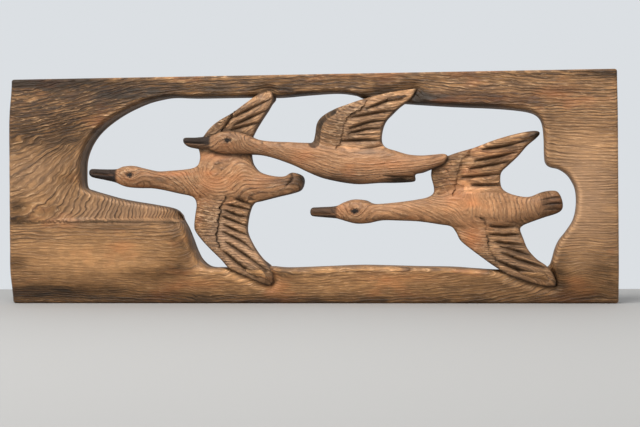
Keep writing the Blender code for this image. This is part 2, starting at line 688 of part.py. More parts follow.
def back_mesh(rim, rim_edges, drawing):
    """The back's own triangles, over the same rim points."""
    low, high = drawing.board.min(0), drawing.board.max(0)
    fine = grid_points((low, high), BACK_BIRD_GRID)
    sheet_z = sheet_height(fine)
    free = (sheet_z > RAIL_BOTTOM) & (sheet_z < RAIL_TOP)
    fine = fine[is_solid(fine, drawing) & ~in_frame(fine, drawing) & free]
    coarse = grid_points((low, high), BACK_GRID)
    coarse = coarse[is_solid(coarse, drawing)]
    row = [offset_points(bird["outline"], BIRD_BACK_ROUND / 2) for bird in drawing.birds]
    row = np.vstack(row)[::2]
    row = row[is_solid(row, drawing) & ~in_frame(row, drawing)]
    crossing = spread(drawing.opening, True, BACK_RIM_STEP)
    crossing = crossing[is_solid(crossing, drawing)]
    loose = np.vstack([row, fine, coarse])
    loose = clear_of(loose, [(drawing.opening, True)], BACK_GAP)
    starts, ends = rim[rim_edges[:, 0]], rim[rim_edges[:, 1]]
    nearest = np.array([point_gap(point, starts, ends) for point in loose])
    loose = apart(loose[nearest > BACK_GAP], BACK_CLOSEST)
    near = np.array([point_gap(point, starts, ends) for point in crossing])
    loose = np.vstack([crossing[near > BACK_RIM_GAP], loose])
    vectors = [Vector((float(x), float(z))) for x, z in np.vstack([rim, loose])]
    made = geometry.delaunay_2d_cdt(vectors, [tuple(map(int, e)) for e in rim_edges], [], 0, 1e-7)
    plan = np.array([tuple(v) for v in made[0]])
    source = [orig[0] if orig else -1 for orig in made[3]]
    return plan, solid_triangles(plan, np.array(made[2]), drawing), source


def point_gap(point, starts, ends):
    """A point's distance to the nearest of many straight pieces."""
    along = ends - starts
    share = ((point - starts) * along).sum(1) / np.maximum((along ** 2).sum(1), 1e-18)
    gap = point - starts - np.clip(share, 0, 1)[:, None] * along
    return np.hypot(gap[:, 0], gap[:, 1]).min()


def make_panel(drawing):
    """The carved board as one closed mesh."""
    lines = front_lines(drawing)
    plan, triangles = triangulate(lines, front_points(drawing, lines))
    triangles = solid_triangles(plan, triangles, drawing)
    used = np.unique(triangles)
    renumber = {old: new for new, old in enumerate(used)}
    plan = plan[used]
    triangles = np.array([[renumber[i] for i in row] for row in triangles])
    heights = front_height(plan, drawing)
    pairs = edge_loop_pairs(triangles)
    rim_ids = sorted({i for pair in pairs for i in pair})
    place_in_rim = {i: n for n, i in enumerate(rim_ids)}
    rim_edges = np.array([[place_in_rim[a], place_in_rim[b]] for a, b in pairs])
    back_plan, back_triangles, source = back_mesh(plan[rim_ids], rim_edges, drawing)
    back_heights = back_height(back_plan, drawing)

    shape = bmesh.new()
    front = [shape.verts.new((x, -h, z)) for (x, z), h in zip(plan, heights)]
    back = {}
    rim_back = {}
    for index in np.unique(back_triangles):
        x, z = back_plan[index]
        back[index] = shape.verts.new((x, -back_heights[index], z))
        if 0 <= source[index] < len(rim_ids):
            rim_back[rim_ids[source[index]]] = back[index]
    for a, b, c in triangles:
        shape.faces.new((front[a], front[b], front[c]))
    for a, b, c in back_triangles:
        shape.faces.new((back[c], back[b], back[a]))
    for a, b in pairs:
        shape.faces.new((front[b], front[a], rim_back[a]))
        shape.faces.new((front[b], rim_back[a], rim_back[b]))
    bmesh.ops.recalc_face_normals(shape, faces=shape.faces)
    mesh = bpy.data.meshes.new("carved_panel")
    shape.to_mesh(mesh)
    shape.free()
    return mesh


def wood():
    """Oiled brown pine."""
    material = bpy.data.materials.new("stained_pine")
    material.use_nodes = True
    shader = material.node_tree.nodes["Principled BSDF"]
    shader.inputs["Base Color"].default_value = WOOD_COLOUR
    shader.inputs["Roughness"].default_value = WOOD_ROUGHNESS
    shader.inputs["Metallic"].default_value = 0.0
    return material


def main():
    for old in list(bpy.data.objects):
        bpy.data.objects.remove(old)
    mesh = make_panel(Drawing())
    mesh.materials.append(wood())
    panel = bpy.data.objects.new("carved_panel", mesh)
    bpy.context.scene.collection.objects.link(panel)


main()
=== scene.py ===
"""The look of an openwork wood relief: three long-necked birds carved from one stained pine board.

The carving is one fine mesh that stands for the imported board. Its outlines are drawn on a sheet in
millimetres, X from the board's left end and Z from its lower edge, as in the part's own source.
"""
import math

import bmesh
import bpy
import numpy as np
from mathutils import Matrix, Vector, geometry, noise


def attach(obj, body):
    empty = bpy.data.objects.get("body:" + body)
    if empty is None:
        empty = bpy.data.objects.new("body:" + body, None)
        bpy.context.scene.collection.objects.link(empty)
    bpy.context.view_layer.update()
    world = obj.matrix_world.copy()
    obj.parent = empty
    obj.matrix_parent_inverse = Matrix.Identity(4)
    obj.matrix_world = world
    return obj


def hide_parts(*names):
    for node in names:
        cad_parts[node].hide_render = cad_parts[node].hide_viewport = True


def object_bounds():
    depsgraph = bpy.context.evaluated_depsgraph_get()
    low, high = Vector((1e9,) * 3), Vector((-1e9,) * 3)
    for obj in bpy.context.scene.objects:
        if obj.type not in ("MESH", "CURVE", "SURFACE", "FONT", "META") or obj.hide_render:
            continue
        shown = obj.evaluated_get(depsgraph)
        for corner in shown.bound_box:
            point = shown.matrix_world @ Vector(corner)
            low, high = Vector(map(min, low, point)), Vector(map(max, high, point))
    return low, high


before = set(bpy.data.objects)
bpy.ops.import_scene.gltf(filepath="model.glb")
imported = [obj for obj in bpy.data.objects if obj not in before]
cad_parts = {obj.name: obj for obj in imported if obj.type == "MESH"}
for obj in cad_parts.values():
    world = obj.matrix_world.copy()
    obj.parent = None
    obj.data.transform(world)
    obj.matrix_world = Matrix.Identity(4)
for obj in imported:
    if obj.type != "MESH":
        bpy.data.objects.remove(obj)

CAD_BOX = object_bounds()

# The board, in metres
BOARD_LENGTH = 0.950
BOARD_HEIGHT = 0.356
BOARD_THICKNESS = 0.0498
CORNER_RADIUS = 0.004
END_ROUND_WIDTH = 0.004
END_ROUND_DROP = 0.003
TOP_SHOULDER_WIDTH = 0.075
TOP_SHOULDER_DROP = 0.014
BOTTOM_SHOULDER_WIDTH = 0.060
BOTTOM_SHOULDER_DROP = 0.015

# The rim of the opening
RIM_WIDTH = 0.007
RIM_DROP = 0.012
LOBE_ROUND_WIDTH = 0.030
LOBE_ROUND_DROP = 0.020
LOBE_FADE = (0.012, 0.01)

# The hollowed slope on the left
SLOPE_DEPTH = 0.024
SLOPE_STEP_WIDTH = 0.006

# The birds. Their levels are measured back from the face of the board
BIRD_1_LEVEL = 0.013
BIRD_2_LEVEL = 0.0095
BIRD_3_LEVEL = 0.013
WING_TIP_LEVEL = 0.0038
WING_TIP_EDGE_DROP = 0.002
BODY_RISE = 0.60
BODY_RISE_LIMIT = 0.0095
BIRD_EDGE_WIDTH = 0.006
BIRD_EDGE_DROP = 0.0045
WING_SWELL = 0.0035
WING_SWELL_WIDTH = 0.022
BIRD_BACK_EDGE = 0.021
BIRD_BACK_MIDDLE = 0.009
BIRD_BACK_ROUND = 0.012
BODY_BLEND = 0.004

# The carved lines
SCALLOP_GAP = 0.010
SCALLOP_DEPTH = 0.0020
SCALLOP_STEP = 0.0010
SCALLOP_MIDDLE = 0.6
FEATHER_STEP = 0.003
FEATHER_SLOPE = 0.034
GROOVE_WIDTH = 0.0068
GROOVE_DEPTH = 0.0040
GROOVE_LEAD = 7.0
GROOVE_SHARPNESS = 0.8
GROOVE_TAPER = (0.02, 0.985, 0.62, 0.6)
VALLEY_TAPER = (0.03, 0.97, 0.5)
VALLEY_REACH = 0.0126
VALLEY_WIDTH = 0.0042
VALLEY_DEPTH = 0.0024
FINE_LINE_WIDTH = 0.0030
FINE_LINE_DEPTH = 0.0010
FINE_LINE_REACH = 0.026
FINE_LINE_POINTS = 12
BEVEL_DROP = 0.006
BILL_DROP = 0.0015
BILL_DROP_WIDTH = 0.004
MOUTH_SHARES = (0.7, 0.6)
EYE_DEPTH = 0.0022
EYE_HOLLOW = (1.15, 0.7)
EYEBALL = (0.62, 0.9)
EYE_CURVE = 1.5
STEP_PATCH = 0.012
STEP_LEFT = (0.72, 0.75, 0.3, 1.1)
STEP_SEED = 3.5
GROUND_WIDTH = 0.015
GROUND_DEPTH = 0.0065
STEP_FOOT = 0.0008

# How fine the faces are, and how the walls between front and back are divided
OUTLINE_STEP = 0.0024
BOARD_STEP = 1.3 * OUTLINE_STEP
CURVE_PIECES = 24
SPINE_PIECES = 8
CORNER_TURN = 15
FRAME_GRID = 0.0031
BIRD_GRID = 0.0017
BACK_GRID = 0.012
BACK_BIRD_GRID = 0.006
WALL_SHARES = (0.0, 0.34, 0.67, 1.0)
SHARP_ANGLE = 50.0
FAR = 1.0
MM = 0.001
AT_ONCE = 2_000_000
# The rows of points beside each kind of edge, as shares of its width, and beside the birds' backs
RIM_ROWS = (0.1, 0.3, 0.6, 1.0)
END_ROWS = (0.2, 0.55, 1.0)
BIRD_EDGE_ROWS = (0.1, 0.28, 0.55)
GROOVE_ROWS = (-0.5, -0.25, 0.25, 0.5)
BACK_ROWS = (0.0015, 0.004)
# A point of such a row stays where no part of the line is nearer than this share of its distance
ROW_CLEAR = 0.93
# How near loose points may come to a line: rows, the front's grids, and the back's grid and crossings
ROW_GAP = 0.00045
GRID_GAP = 0.0012
POINT_GAP = 0.00085
BACK_LINE_GAP = 0.001
BACK_RIM_GAP = 0.0009
BACK_POINT_GAP = 0.0014
CROSSING_GAP = 0.0006
# The grids' rows, as a share of their spacing, how far their points are shaken, and the draw's seed
GRID_ROW = math.sqrt(0.75)
GRID_SHAKE = 0.12
GRID_SEED = 7
# Points that are this near each other are one, in the front and in the back
FRONT_MERGE = 1e-5
BACK_MERGE = 1e-7
# A point this near an outline lies on it
ON_EDGE = 1e-5

# The tool's hollows, as (reach in x, reach in z, depth in metres, seed), reaches on the sheet
TOOL_MARKS = [(70.0, 22.0, 0.0012, 1.5), (16.0, 9.0, 0.0007, 2.5)]
BIRD_TOOL_MARKS = 0.8

# The drawing sheet, in millimetres
SHEET_LENGTH = 950.0
SHEET_HEIGHT = 356.0
SHEET_ORIGIN = (475.0, 340.0)
RAIL_BOTTOM = 57.0
RAIL_TOP = 321.0
RAIL_REACH = 60.0
BACK_REACH = 12.0

OPENING = [
    (116, 184), (114.5, 206), (116.5, 230), (127, 255), (146, 277), (177, 298.5), (213, 315), (240, 322),
    (262, 324.5), (300, 323), (377, 323), (430, 322), (474, 325), (520, 327), (548, 323.5), (562, 318),
    (595, 312), (628.5, 309), (698, 303.5), (759, 300), (800, 296), (821, 291.5), (832, 284), (837, 272),
    (839, 252), (839.5, 226), (841.5, 214.5), (848, 208.5), (861, 205), (873, 197), (881, 186),
    (886.5, 172), (887.5, 150), (883, 128), (872, 110), (861, 96), (854.5, 82), (850, 66), (845, 56),
    (832, 52), (800, 51.5), (767, 51), (733, 53), (698, 55.5), (647, 56.5), (576, 58.5), (545, 58.5),
    (506, 57), (443, 55), (413, 57), (380, 55.5), (341, 55.5), (318, 56.8), (304, 66.7), (295.7, 81),
    (288, 101), (281.5, 117), (274, 131), (270, 140), (257.5, 149), (226, 155.5), (196, 160.5),
    (171, 165.5), (144, 173), (126, 178.5),
]

SLOPE_LEFT = 55.0
SLOPE_RIGHT = 272.0
SLOPE_END = 330.0
SLOPE_OVERRUN = 1.08
SLOPE_TOP = (178.0, 225.0)
CREASE = [(40, 129), (110, 129), (180, 128.5), (240, 128), (268, 127)]
LOBE_ROUND = [(270, 138), (281, 117), (288, 101), (295, 82), (304, 67)]

# Each bird: its place on the sheet, outline, spine as (x, z, half width), the areas of long
# feathers, each starting with the scalloped line it steps down from, and the grooves between them
BIRD_1 = dict(
    place=(-3.0, 0.0),
    step_shade=(0.8, 0.95),
    level=BIRD_1_LEVEL,
    outline=[
        (129, 206), (132, 212), (150, 211.7), (173, 211.7), (184, 215.5), (200, 216.6),
        (215, 213), (240, 207.7), (262, 208.4), (285, 210), (300, 212.7), (307, 219),
        (308, 232), (306, 247), (313, 260.3), (325, 275), (340, 286), (360, 297), (386, 315.7),
        (398, 324), (412, 330.3), (422, 328.5), (424.5, 317), (417.5, 302.5), (407, 287),
        (397, 271), (390.5, 257), (389, 243), (390, 225), (394, 214), (404, 204), (424, 198.4),
        (442, 197.7), (452, 203.2), (463, 201.6), (471, 196), (472, 186), (467, 176),
        (455, 171.2), (430, 165.4), (405, 159.3), (393, 156), (386.5, 144), (382.5, 125),
        (382.5, 110), (389.5, 93.5), (399, 78), (412, 62), (422, 48), (424, 35), (418, 28),
        (407, 30.5), (390, 38.3), (367, 48.5), (355, 55), (342, 69), (325, 84.5), (310, 99.5),
        (300, 112.7), (298, 122), (300, 140), (302, 154), (299, 164), (291, 168.6),
        (275, 172), (250, 177.7), (230, 180.8), (205, 181.6), (188, 184), (172, 190.4),
        (155, 194.5), (135, 198.8), (130.3, 202),
    ],
    spine=[
        (131, 205.5, 5), (170, 201.5, 10), (184, 199.8, 15), (200, 199.2, 17.8), (220, 197, 16),
        (240, 194.2, 14), (270, 191.5, 18.5), (300, 192.5, 26), (330, 198, 36), (368, 194, 33),
        (400, 184, 22), (430, 181, 17), (458, 186, 15.5),
    ],
    feathers=[
        [(341, 268), (350, 278), (357, 288), (362, 298), (377, 312), (400, 334), (440, 330),
         (420, 270), (394, 248), (366, 262)],
        [(350, 166), (344, 156), (339, 151), (341, 144), (337, 132), (337, 120), (334, 110),
         (335, 98), (340, 88), (346, 78), (352, 66), (364, 52), (400, 24), (440, 20),
         (430, 60), (395, 110), (400, 160)],
    ],
    grooves=[
        [(366, 292), (385, 300.7), (404, 309.5), (424, 318.8)],
        [(370, 280.7), (393, 291), (417, 300.5)],
        [(365, 272), (385, 277.5), (405, 282)],
        [(372, 161), (390, 153.5)],
        [(358, 152.3), (372, 149.5), (388, 145.2)],
        [(354, 142.5), (370, 136.3), (385, 133.8)],
        [(351, 132.5), (366, 126.5), (383, 119.7)],
        [(352, 119.5), (367, 112.5), (384, 106)],
        [(351, 108), (373, 96.8), (393, 82.5)],
        [(355, 91.8), (378, 76.8), (413, 52.5)],
        [(352, 76.5), (375, 58.5), (399, 43.5)],
    ],
    creases=[([(448, 205), (455, 198), (453, 189), (444, 181)], 6.5, 3.6),
             ([(220, 190), (221, 185.5), (217, 182)], 3.0, 1.4),
             ([(361, 297), (358, 289), (353, 281), (343, 271.5)], 6.6, 3.4)],
    mouth=[(134, 205), (150, 203.5), (170, 202)],
    bill_end=175.0,
    bevels=[],
    eye=(198, 202, 6.0, 4.6),
    # The last of these, the mouth line, is a painted highlight along this bird's bill
    bill_and_mouth_tones=(0.96, 0.99, 0.80),
    mottling=1.0,
)

BIRD_2 = dict(
    place=(-2.5, 0.5),
    step_shade=(0.54,),
    level=BIRD_2_LEVEL,
    outline=[
        (281.5, 254), (283.5, 259), (300, 259.3), (313, 260.3), (329, 262), (338, 266.8),
        (353, 268.6), (372, 267), (386, 261.4), (400, 255.2), (420, 251.8), (450, 250.3),
        (475, 248.9), (486, 250), (489.7, 262), (492.5, 277.5), (500, 288.4), (516, 298.4),
        (540, 307), (565, 315), (600, 323.5), (625, 327.5), (646, 330), (645, 324),
        (637, 313), (622, 302.3), (610, 291), (601, 281.8), (595.5, 270), (593, 255),
        (595, 245), (602, 239.3), (615, 235), (635, 229), (655, 227.2), (675, 228.4),
        (690, 229.2), (695.3, 225), (691.5, 216), (682, 210), (668, 205), (657, 200.8),
        (645, 198), (645, 190), (640, 186.8), (615, 185.5), (590, 185.5), (560, 183.9),
        (540, 185.5), (520, 189.2), (500, 194.3), (480, 202.7), (460, 212.5), (440, 220.4),
        (420, 227), (400, 231), (375, 231.8), (345, 232.5), (330, 236.6), (310, 240.3),
        (292, 244), (284.3, 248.5),
    ],
    spine=[
        (284, 253.5, 5), (318, 250.7, 9.5), (334, 250.5, 15), (353, 250.5, 18.5),
        (374, 248.8, 17.5), (398, 243, 12.5), (440, 235.6, 15), (480, 226, 23), (520, 215, 27),
        (560, 211, 28), (600, 211, 25), (635, 211.5, 17), (665, 214.5, 13), (688, 220.5, 9),
    ],
    feathers=[
        [(522, 239), (530, 247), (531, 256), (535, 267), (537, 277), (543, 288), (553, 295),
         (562, 299), (567, 306), (574, 316), (600, 332), (660, 336), (640, 300), (604, 270),
         (600, 240), (560, 237)],
    ],
    grooves=[
        [(578, 301.8), (605, 311.8), (632, 318)],
        [(556, 288), (585, 292.7), (613, 296)],
        [(552, 272), (575, 279), (599, 281)],
        [(550, 263.4), (572, 268.3), (592, 269)],
        [(540, 250.5), (565, 251.5), (592, 250.5)],
    ],
    creases=[([(598, 196), (622, 195), (648, 195)], 4.0, 3.0),
             ([(541, 259.5), (564, 260), (594, 261)], 3.4, 1.4),
             ([(597, 243), (581, 240), (562, 238)], 5.5, 2.2)],
    mouth=[(285, 251.5), (303, 250), (324, 248.8)],
    bill_end=326.0,
    bevels=[([(489, 249), (491, 262), (494, 277), (502, 289), (517, 299)], 9.0)],
    eye=(354, 254, 6.6, 4.2),
    bill_and_mouth_tones=(0.96, 0.62, 1.0),
    mottling=0.85,
)

BIRD_3 = dict(
    place=(-1.0, 0.0),
    step_shade=(0.38, 0.80),
    level=BIRD_3_LEVEL,
    outline=[
        (480, 144), (483, 148.4), (495, 149.3), (520, 150.8), (533, 156.6), (548, 160.8),
        (566, 159.5), (577.5, 154.5), (590, 153.8), (620, 156.4), (650, 160.5), (664, 164),
        (671.5, 170), (671.8, 180), (668, 197), (671, 211), (682, 221.5), (697, 227.7),
        (712, 232.6), (735, 239), (765, 250), (795, 258.4), (820, 263), (832, 262.5),
        (834, 258.5), (828, 251.8), (815, 241), (800.8, 225), (786, 211.2), (776, 201.5),
        (773.7, 190), (776, 177), (785.5, 169.2), (802, 164), (818, 162.9), (836, 169.5),
        (851, 172), (861, 169.6), (867, 158), (867.8, 145), (860, 137.5), (840, 131),
        (820, 124), (808, 119), (803.5, 113), (808, 99.5), (815, 82.7), (828, 67.7),
        (844, 55.5), (854, 42), (857, 30), (852, 25.5), (840, 26.5), (825, 30), (808, 35.5),
        (785, 44.3), (762.5, 58.2), (745.8, 70.3), (730, 82), (713, 96), (706, 108.7),
        (698, 118), (680, 121.4), (650, 125.9), (620, 127.5), (592, 128), (570, 123.9),
        (552, 123.3), (536.7, 127), (522, 131.3), (505, 133), (484, 135.3), (480.3, 139),
    ],
    spine=[
        (483, 141.8, 5), (516, 141, 9.5), (534, 141.6, 15), (553, 142, 18.8), (576, 140.3, 14.5),
        (594, 140.8, 12.8), (640, 142.5, 15.5), (680, 143.5, 22), (715, 147, 30),
        (755, 148, 31), (790, 147, 24), (825, 146.5, 17), (855, 154, 15),
    ],
    feathers=[
        [(700, 166), (703, 173), (706, 184), (709, 195), (712, 209), (716, 221), (725, 228),
         (729, 238), (740, 246), (830, 275), (850, 262), (790, 205), (782, 178), (740, 170)],
        [(736, 134), (748, 127), (752, 116.5), (751, 110), (754, 99), (755, 87), (760, 77),
         (767, 65), (776, 50), (800, 32), (850, 15), (870, 30), (830, 75), (812, 116),
         (775, 128)],
    ],
    grooves=[
        [(755, 236.3), (780, 239.7), (815, 248.6)],
        [(743, 219), (770, 224), (799, 231)],
        [(735, 207.3), (760, 211.4), (786, 216)],
        [(723, 193.5), (748, 195.3), (775, 197.6)],
        [(738, 181), (775, 180.5)],
        [(765, 117.7), (780, 116.8), (800, 118.3)],
        [(765, 105), (782, 104), (805, 105.5)],
        [(772, 93.3), (788, 90.7), (808, 89)],
        [(781, 84.3), (797, 79.8), (817, 73.5)],
        [(783, 74), (808, 64.3), (838, 55)],
        [(776, 62), (800, 51.8), (840, 40)],
    ],
    creases=[([(870, 162), (852, 160.5), (836, 158)], 5.0, 2.4),
             ([(871, 152.5), (854, 152), (838, 150)], 4.6, 2.2),
             ([(869, 143.5), (854, 143.5), (840, 143)], 4.4, 2.0),
             ([(845, 171), (850, 165), (851, 161)], 2.9, 1.2),
             ([(687, 207), (694, 203), (697, 196)], 2.6, 1.2),
             ([(688, 192), (695, 189), (698, 182)], 2.6, 1.2),
             ([(687, 222), (696, 218), (700, 212)], 2.6, 1.2),
             ([(684, 177), (691, 175), (695, 169)], 2.6, 1.0),
             ([(722, 209), (728, 205), (729, 199)], 2.4, 1.0)],
    mouth=[(483, 138.5), (520, 138)],
    bill_end=522.0,
    bevels=[],
    eye=(551, 143, 7.5, 5.0),
    bill_and_mouth_tones=(0.80, 0.92, 0.45),
    mottling=0.60,
)

BIRDS = [BIRD_1, BIRD_2, BIRD_3]

CREVICE = [(849, 62), (855, 38), (858, 24)]
CREVICE_WIDTH = 0.008
CREVICE_DEPTH = 0.010
HOLLOWS = [
    (434, 40, 0.014, 0.004),
    (437, 323, 0.012, 0.003),
    (652, 322, 0.012, 0.003),
]

# The run of the grain over each part, as guides of (x, z, degrees from level, millimetres from one
# growth ring to the next). Half a turn more means that the ring numbers fall upwards
FRAME_GRAIN = [
    (15, 345, 2, 6), (110, 345, 2, 6), (20, 305, 3, 4.4), (60, 305, 5, 4.4), (105, 308, 10, 4.4),
    (20, 272, 5, 4.6), (60, 272, 10, 4.6), (100, 278, 18, 4.8), (95, 245, 28, 6), (30, 245, 10, 5.5),
    (170, 325, 6, 5), (240, 338, 2, 5), (350, 338, 0, 5), (450, 338, 0, 5), (560, 335, -1, 5.5),
    (660, 330, 0, 5), (760, 325, 0, 4.5), (850, 330, 0, 4), (860, 290, 0, 4), (920, 290, 0, 4),
    (880, 250, -2, 5), (930, 250, 0, 5), (870, 225, -12, 5), (920, 215, -3, 4.5), (900, 180, 0, 4),
    (930, 150, 0, 4), (890, 120, 0, 4), (930, 90, 0, 4), (880, 80, 0, 4.5), (860, 55, 6, 5),
    (880, 45, 25, 4), (915, 42, -20, 4), (840, 20, 12, 5), (900, 12, 8, 5), (700, 30, 2, 6),
    (500, 30, 0, 6), (330, 30, 0, 6),
]
LEFT_GRAIN = [
    (15, 255, 12, 6), (60, 255, 22, 6), (100, 255, 34, 6.5), (15, 240, 8, 6), (50, 240, 18, 6.5),
    (95, 240, 38, 7), (15, 205, 18, 7), (50, 205, 32, 7), (95, 200, 48, 7.5), (15, 175, 12, 7),
    (50, 175, 28, 7.5), (100, 170, 44, 8), (15, 145, 3, 7), (50, 145, 16, 7.5), (90, 145, 40, 8),
    (130, 150, 52, 6.8), (160, 145, 64, 6), (190, 142, 74, 5.4), (220, 140, 82, 4.8), (255, 137, 88, 4.6),
]
LOW_LEFT_GRAIN = [
    (40, 60, 0, 5), (150, 100, 0, 5.5), (150, 20, 0, 5), (270, 60, -2, 5.5), (320, 30, 0, 6),
]
BIRD_1_GRAIN = [
    (140, 204, 180, 5), (215, 197, 178, 4.5), (235, 203, 179, 4.5), (235, 186, 178, 4.5),
    (255, 203, 180, 4.5), (255, 184, 176, 4.5), (275, 203, 184, 5), (275, 182, 172, 5), (390, 200, 158, 5),
    (390, 172, 190, 5), (420, 186, 178, 4.5), (450, 190, 165, 5), (440, 176, 186, 5), (308, 152, 165, 4.7),
    (328, 150, 180, 4.7), (352, 152, 200, 4.7), (315, 125, 172, 4.5), (340, 120, 188, 4.5),
    (330, 95, 180, 4.5), (370, 100, 172, 4), (400, 55, 165, 4), (375, 135, 170, 4.5), (330, 255, 20, 4.5),
    (350, 280, 30, 4.5), (390, 300, 25, 4), (380, 260, 20, 4.5),
]
BIRD_2_GRAIN = [
    (300, 250, 0, 4.5), (400, 250, -4, 4), (400, 236, -8, 4), (440, 243, -6, 4), (440, 228, -12, 4),
    (500, 235, -8, 4), (500, 205, -18, 4), (540, 225, 0, 4), (540, 195, -6, 4), (600, 222, 6, 4),
    (600, 195, 2, 4), (650, 215, 4, 4), (680, 220, 6, 4), (510, 270, 0, 3.9), (530, 290, 4, 3.9),
    (560, 305, 10, 3.9), (580, 285, 6, 4), (600, 300, 12, 4), (620, 312, 15, 4), (570, 260, 3, 4),
]
BIRD_3_GRAIN = [
    (495, 142, 180, 4.5), (590, 142, 180, 4.5), (600, 150, 182, 4.5), (650, 155, 184, 4.5),
    (600, 134, 181, 4.5), (650, 131, 178, 4.5), (690, 145, 178, 5), (700, 165, 200, 5), (730, 165, -45, 6),
    (760, 165, -62, 6.5), (790, 160, -70, 6.5), (730, 147, -90, 6.5), (760, 145, -90, 6.5),
    (790, 145, -90, 6.5), (810, 145, -88, 6.5), (750, 128, -115, 6.5), (785, 128, -112, 6.5),
    (840, 160, -30, 5), (850, 145, -60, 6), (835, 135, -140, 5), (676, 185, 0, 3.8), (690, 210, 0, 3.8),
    (720, 200, 5, 4), (720, 225, 12, 4), (760, 215, 8, 4), (790, 240, 14, 4), (820, 258, 16, 4),
    (720, 105, 150, 4.5), (790, 110, 178, 4), (790, 85, 165, 4), (820, 65, 158, 4), (845, 40, 150, 4),
    (760, 90, 165, 4),
]
# How plainly the rings show, as (x, z, reach in x, reach in z, amount)
FIGURE = [
    (60, 305, 130, 42, 1.3), (170, 330, 90, 14, 0.5), (205, 145, 80, 22, 0.15), (40, 200, 60, 45, -0.20),
    (145, 70, 165, 46, -0.93), (60, 258, 70, 10, -0.45), (600, 25, 340, 28, -0.40),
    (90, 205, 40, 40, -0.15), (900, 150, 60, 110, -0.70), (920, 240, 50, 30, -0.15),
    (870, 315, 70, 30, 0.35), (900, 30, 50, 15, -0.3), (450, 338, 260, 18, -0.12),
    (284, 92, 20, 36, -0.30),
]
# How much the dark strands show, and how far the rings wander, given in the same way
STRANDS = [
    (60, 305, 130, 42, 0.75), (140, 74, 185, 48, -0.92), (600, 25, 330, 32, -0.50),
    (900, 170, 65, 150, -0.65), (205, 145, 80, 22, -0.30), (60, 190, 90, 55, -0.30),
    (450, 338, 300, 18, 0.05),
]
BIRD_FIGURE = [
    (235, 194, 36, 16, -0.30), (440, 240, 60, 14, -0.25), (620, 142, 60, 14, -0.45),
    (326, 203, 40, 26, 0.05), (775, 147, 45, 24, -0.22), (690, 143, 30, 14, -0.40),
    (560, 224, 90, 10, -0.50), (655, 217, 30, 9, -0.3), (725, 172, 22, 14, -0.45),
    (685, 172, 16, 10, -0.45), (322, 203, 30, 20, -0.10), (775, 147, 45, 24, -0.10),
]
WANDER = [
    (60, 305, 130, 42, -0.35), (900, 190, 65, 170, -0.62), (600, 25, 330, 32, -0.35),
    (120, 70, 170, 45, -0.45), (450, 338, 330, 20, -0.45), (50, 215, 90, 45, -0.40),
]
# Where a wing runs into the board without a painted dark edge, and where the grooves' painted shade is
# fainter
JOINED = [(575, 316, 24, 9, -0.9), (612, 323, 26, 8, -0.9)]
FAINTER_GROOVE_SHADE = [(805, 75, 55, 45, -0.35), (572, 288, 34, 5, -0.3)]
# Places where the rings close round a centre, as (x, z, stretch along x, millimetres per ring, radii)
BIRD_1_ROUNDS = [(326, 203, 1.3, 5.4, (7, 16, 27)), (195, 202, 1.4, 4.5, (6,))]
BIRD_2_ROUNDS = [(351, 251, 1.4, 4.5, (6, 12))]
BIRD_3_ROUNDS = [(549, 143, 1.4, 4.5, (6, 12))]
BIRD_RINGS = [
    (BIRD_1_GRAIN, BIRD_1_ROUNDS), (BIRD_2_GRAIN, BIRD_2_ROUNDS), (BIRD_3_GRAIN, BIRD_3_ROUNDS),
]
# Orange places in the wood, as (x, z, reach in x, reach in z, amount)
BIRD_BLUSH = [
    (322, 202, 10, 6, 0.55), (266, 203, 28, 4, 0.55), (330, 230, 36, 6, 0.35), (304, 130, 8, 14, 0.30),
    (600, 214, 42, 8, 0.30), (470, 228, 18, 10, 0.40), (708, 165, 20, 9, 0.35), (730, 100, 18, 20, 0.55),
    (735, 155, 12, 8, 0.30), (690, 205, 14, 16, 0.10), (196, 196, 12, 6, 0.30), (352, 246, 14, 7, 0.25),
    (770, 228, 40, 6, 0.25), (335, 110, 24, 45, -0.35), (385, 80, 40, 50, -0.30),
    (385, 290, 50, 30, -0.25), (560, 280, 60, 36, -0.20), (800, 60, 50, 40, -0.20),
    (572, 233, 18, 5, -0.60),
]
FRAME_BLUSH = [
    (886, 34, 20, 9, 0.40), (300, 30, 40, 8, 0.25), (60, 150, 30, 8, 0.20), (100, 200, 26, 10, 0.25),
    (620, 40, 60, 8, 0.20), (870, 325, 30, 8, 0.20), (740, 312, 90, 10, 0.25), (895, 170, 60, 90, -0.40),
    (180, 145, 90, 22, -0.45), (50, 215, 80, 45, -0.25),
]
RING_GRID = 2.5
GRID_END = 1.001
ROUND_GUIDES = 8
GUIDE_REACH = 8.0
FRAME_RING_DEPTH = 0.006
BIRD_RING_DEPTH = 0.005
RIPPLES = [(60.0, 18.0, 0.8), (20.0, 7.0, 0.40), (8.0, 4.0, 0.20)]
FINE_RIPPLES = (0.3, 2.1, 1.7)
RIPPLE_SEED = 0.5
FINE_RIPPLE_SEED = 7.5
LEAST_WANDER = 0.2
BIRD_WANDER = 0.62
# Where two sets of rings on the frame take over from each other, and number on from each other
LEFT_GRAIN_TOP = 258.0
LEFT_GRAIN_WAVES = [(9.0, 17.0, 0.0), (5.0, 7.0, 1.0)]
LEFT_GRAIN_END = 300.0
LEFT_GRAIN_FADE = 12.0
LEFT_MEETING = (50.0, 258.0)
LOW_GRAIN_END = 330.0
LOW_GRAIN_FADE = 40.0
LOW_MEETING = (310.0, 30.0)
# The bent rings on the third bird: between two ends and two edges, as (x, z there, rise)
CHEVRON_BEND = 0.013
CHEVRON_MIDDLE = (730.0, 140.0)
CHEVRON_GAP = 6.4
CHEVRON_ENDS = (705.0, 850.0)
CHEVRON_TOP = (750.0, 174.0, -0.02)
CHEVRON_LOW = (780.0, 121.0, -0.10)
CHEVRON_FADES = (30.0, 5.0, 20.0)
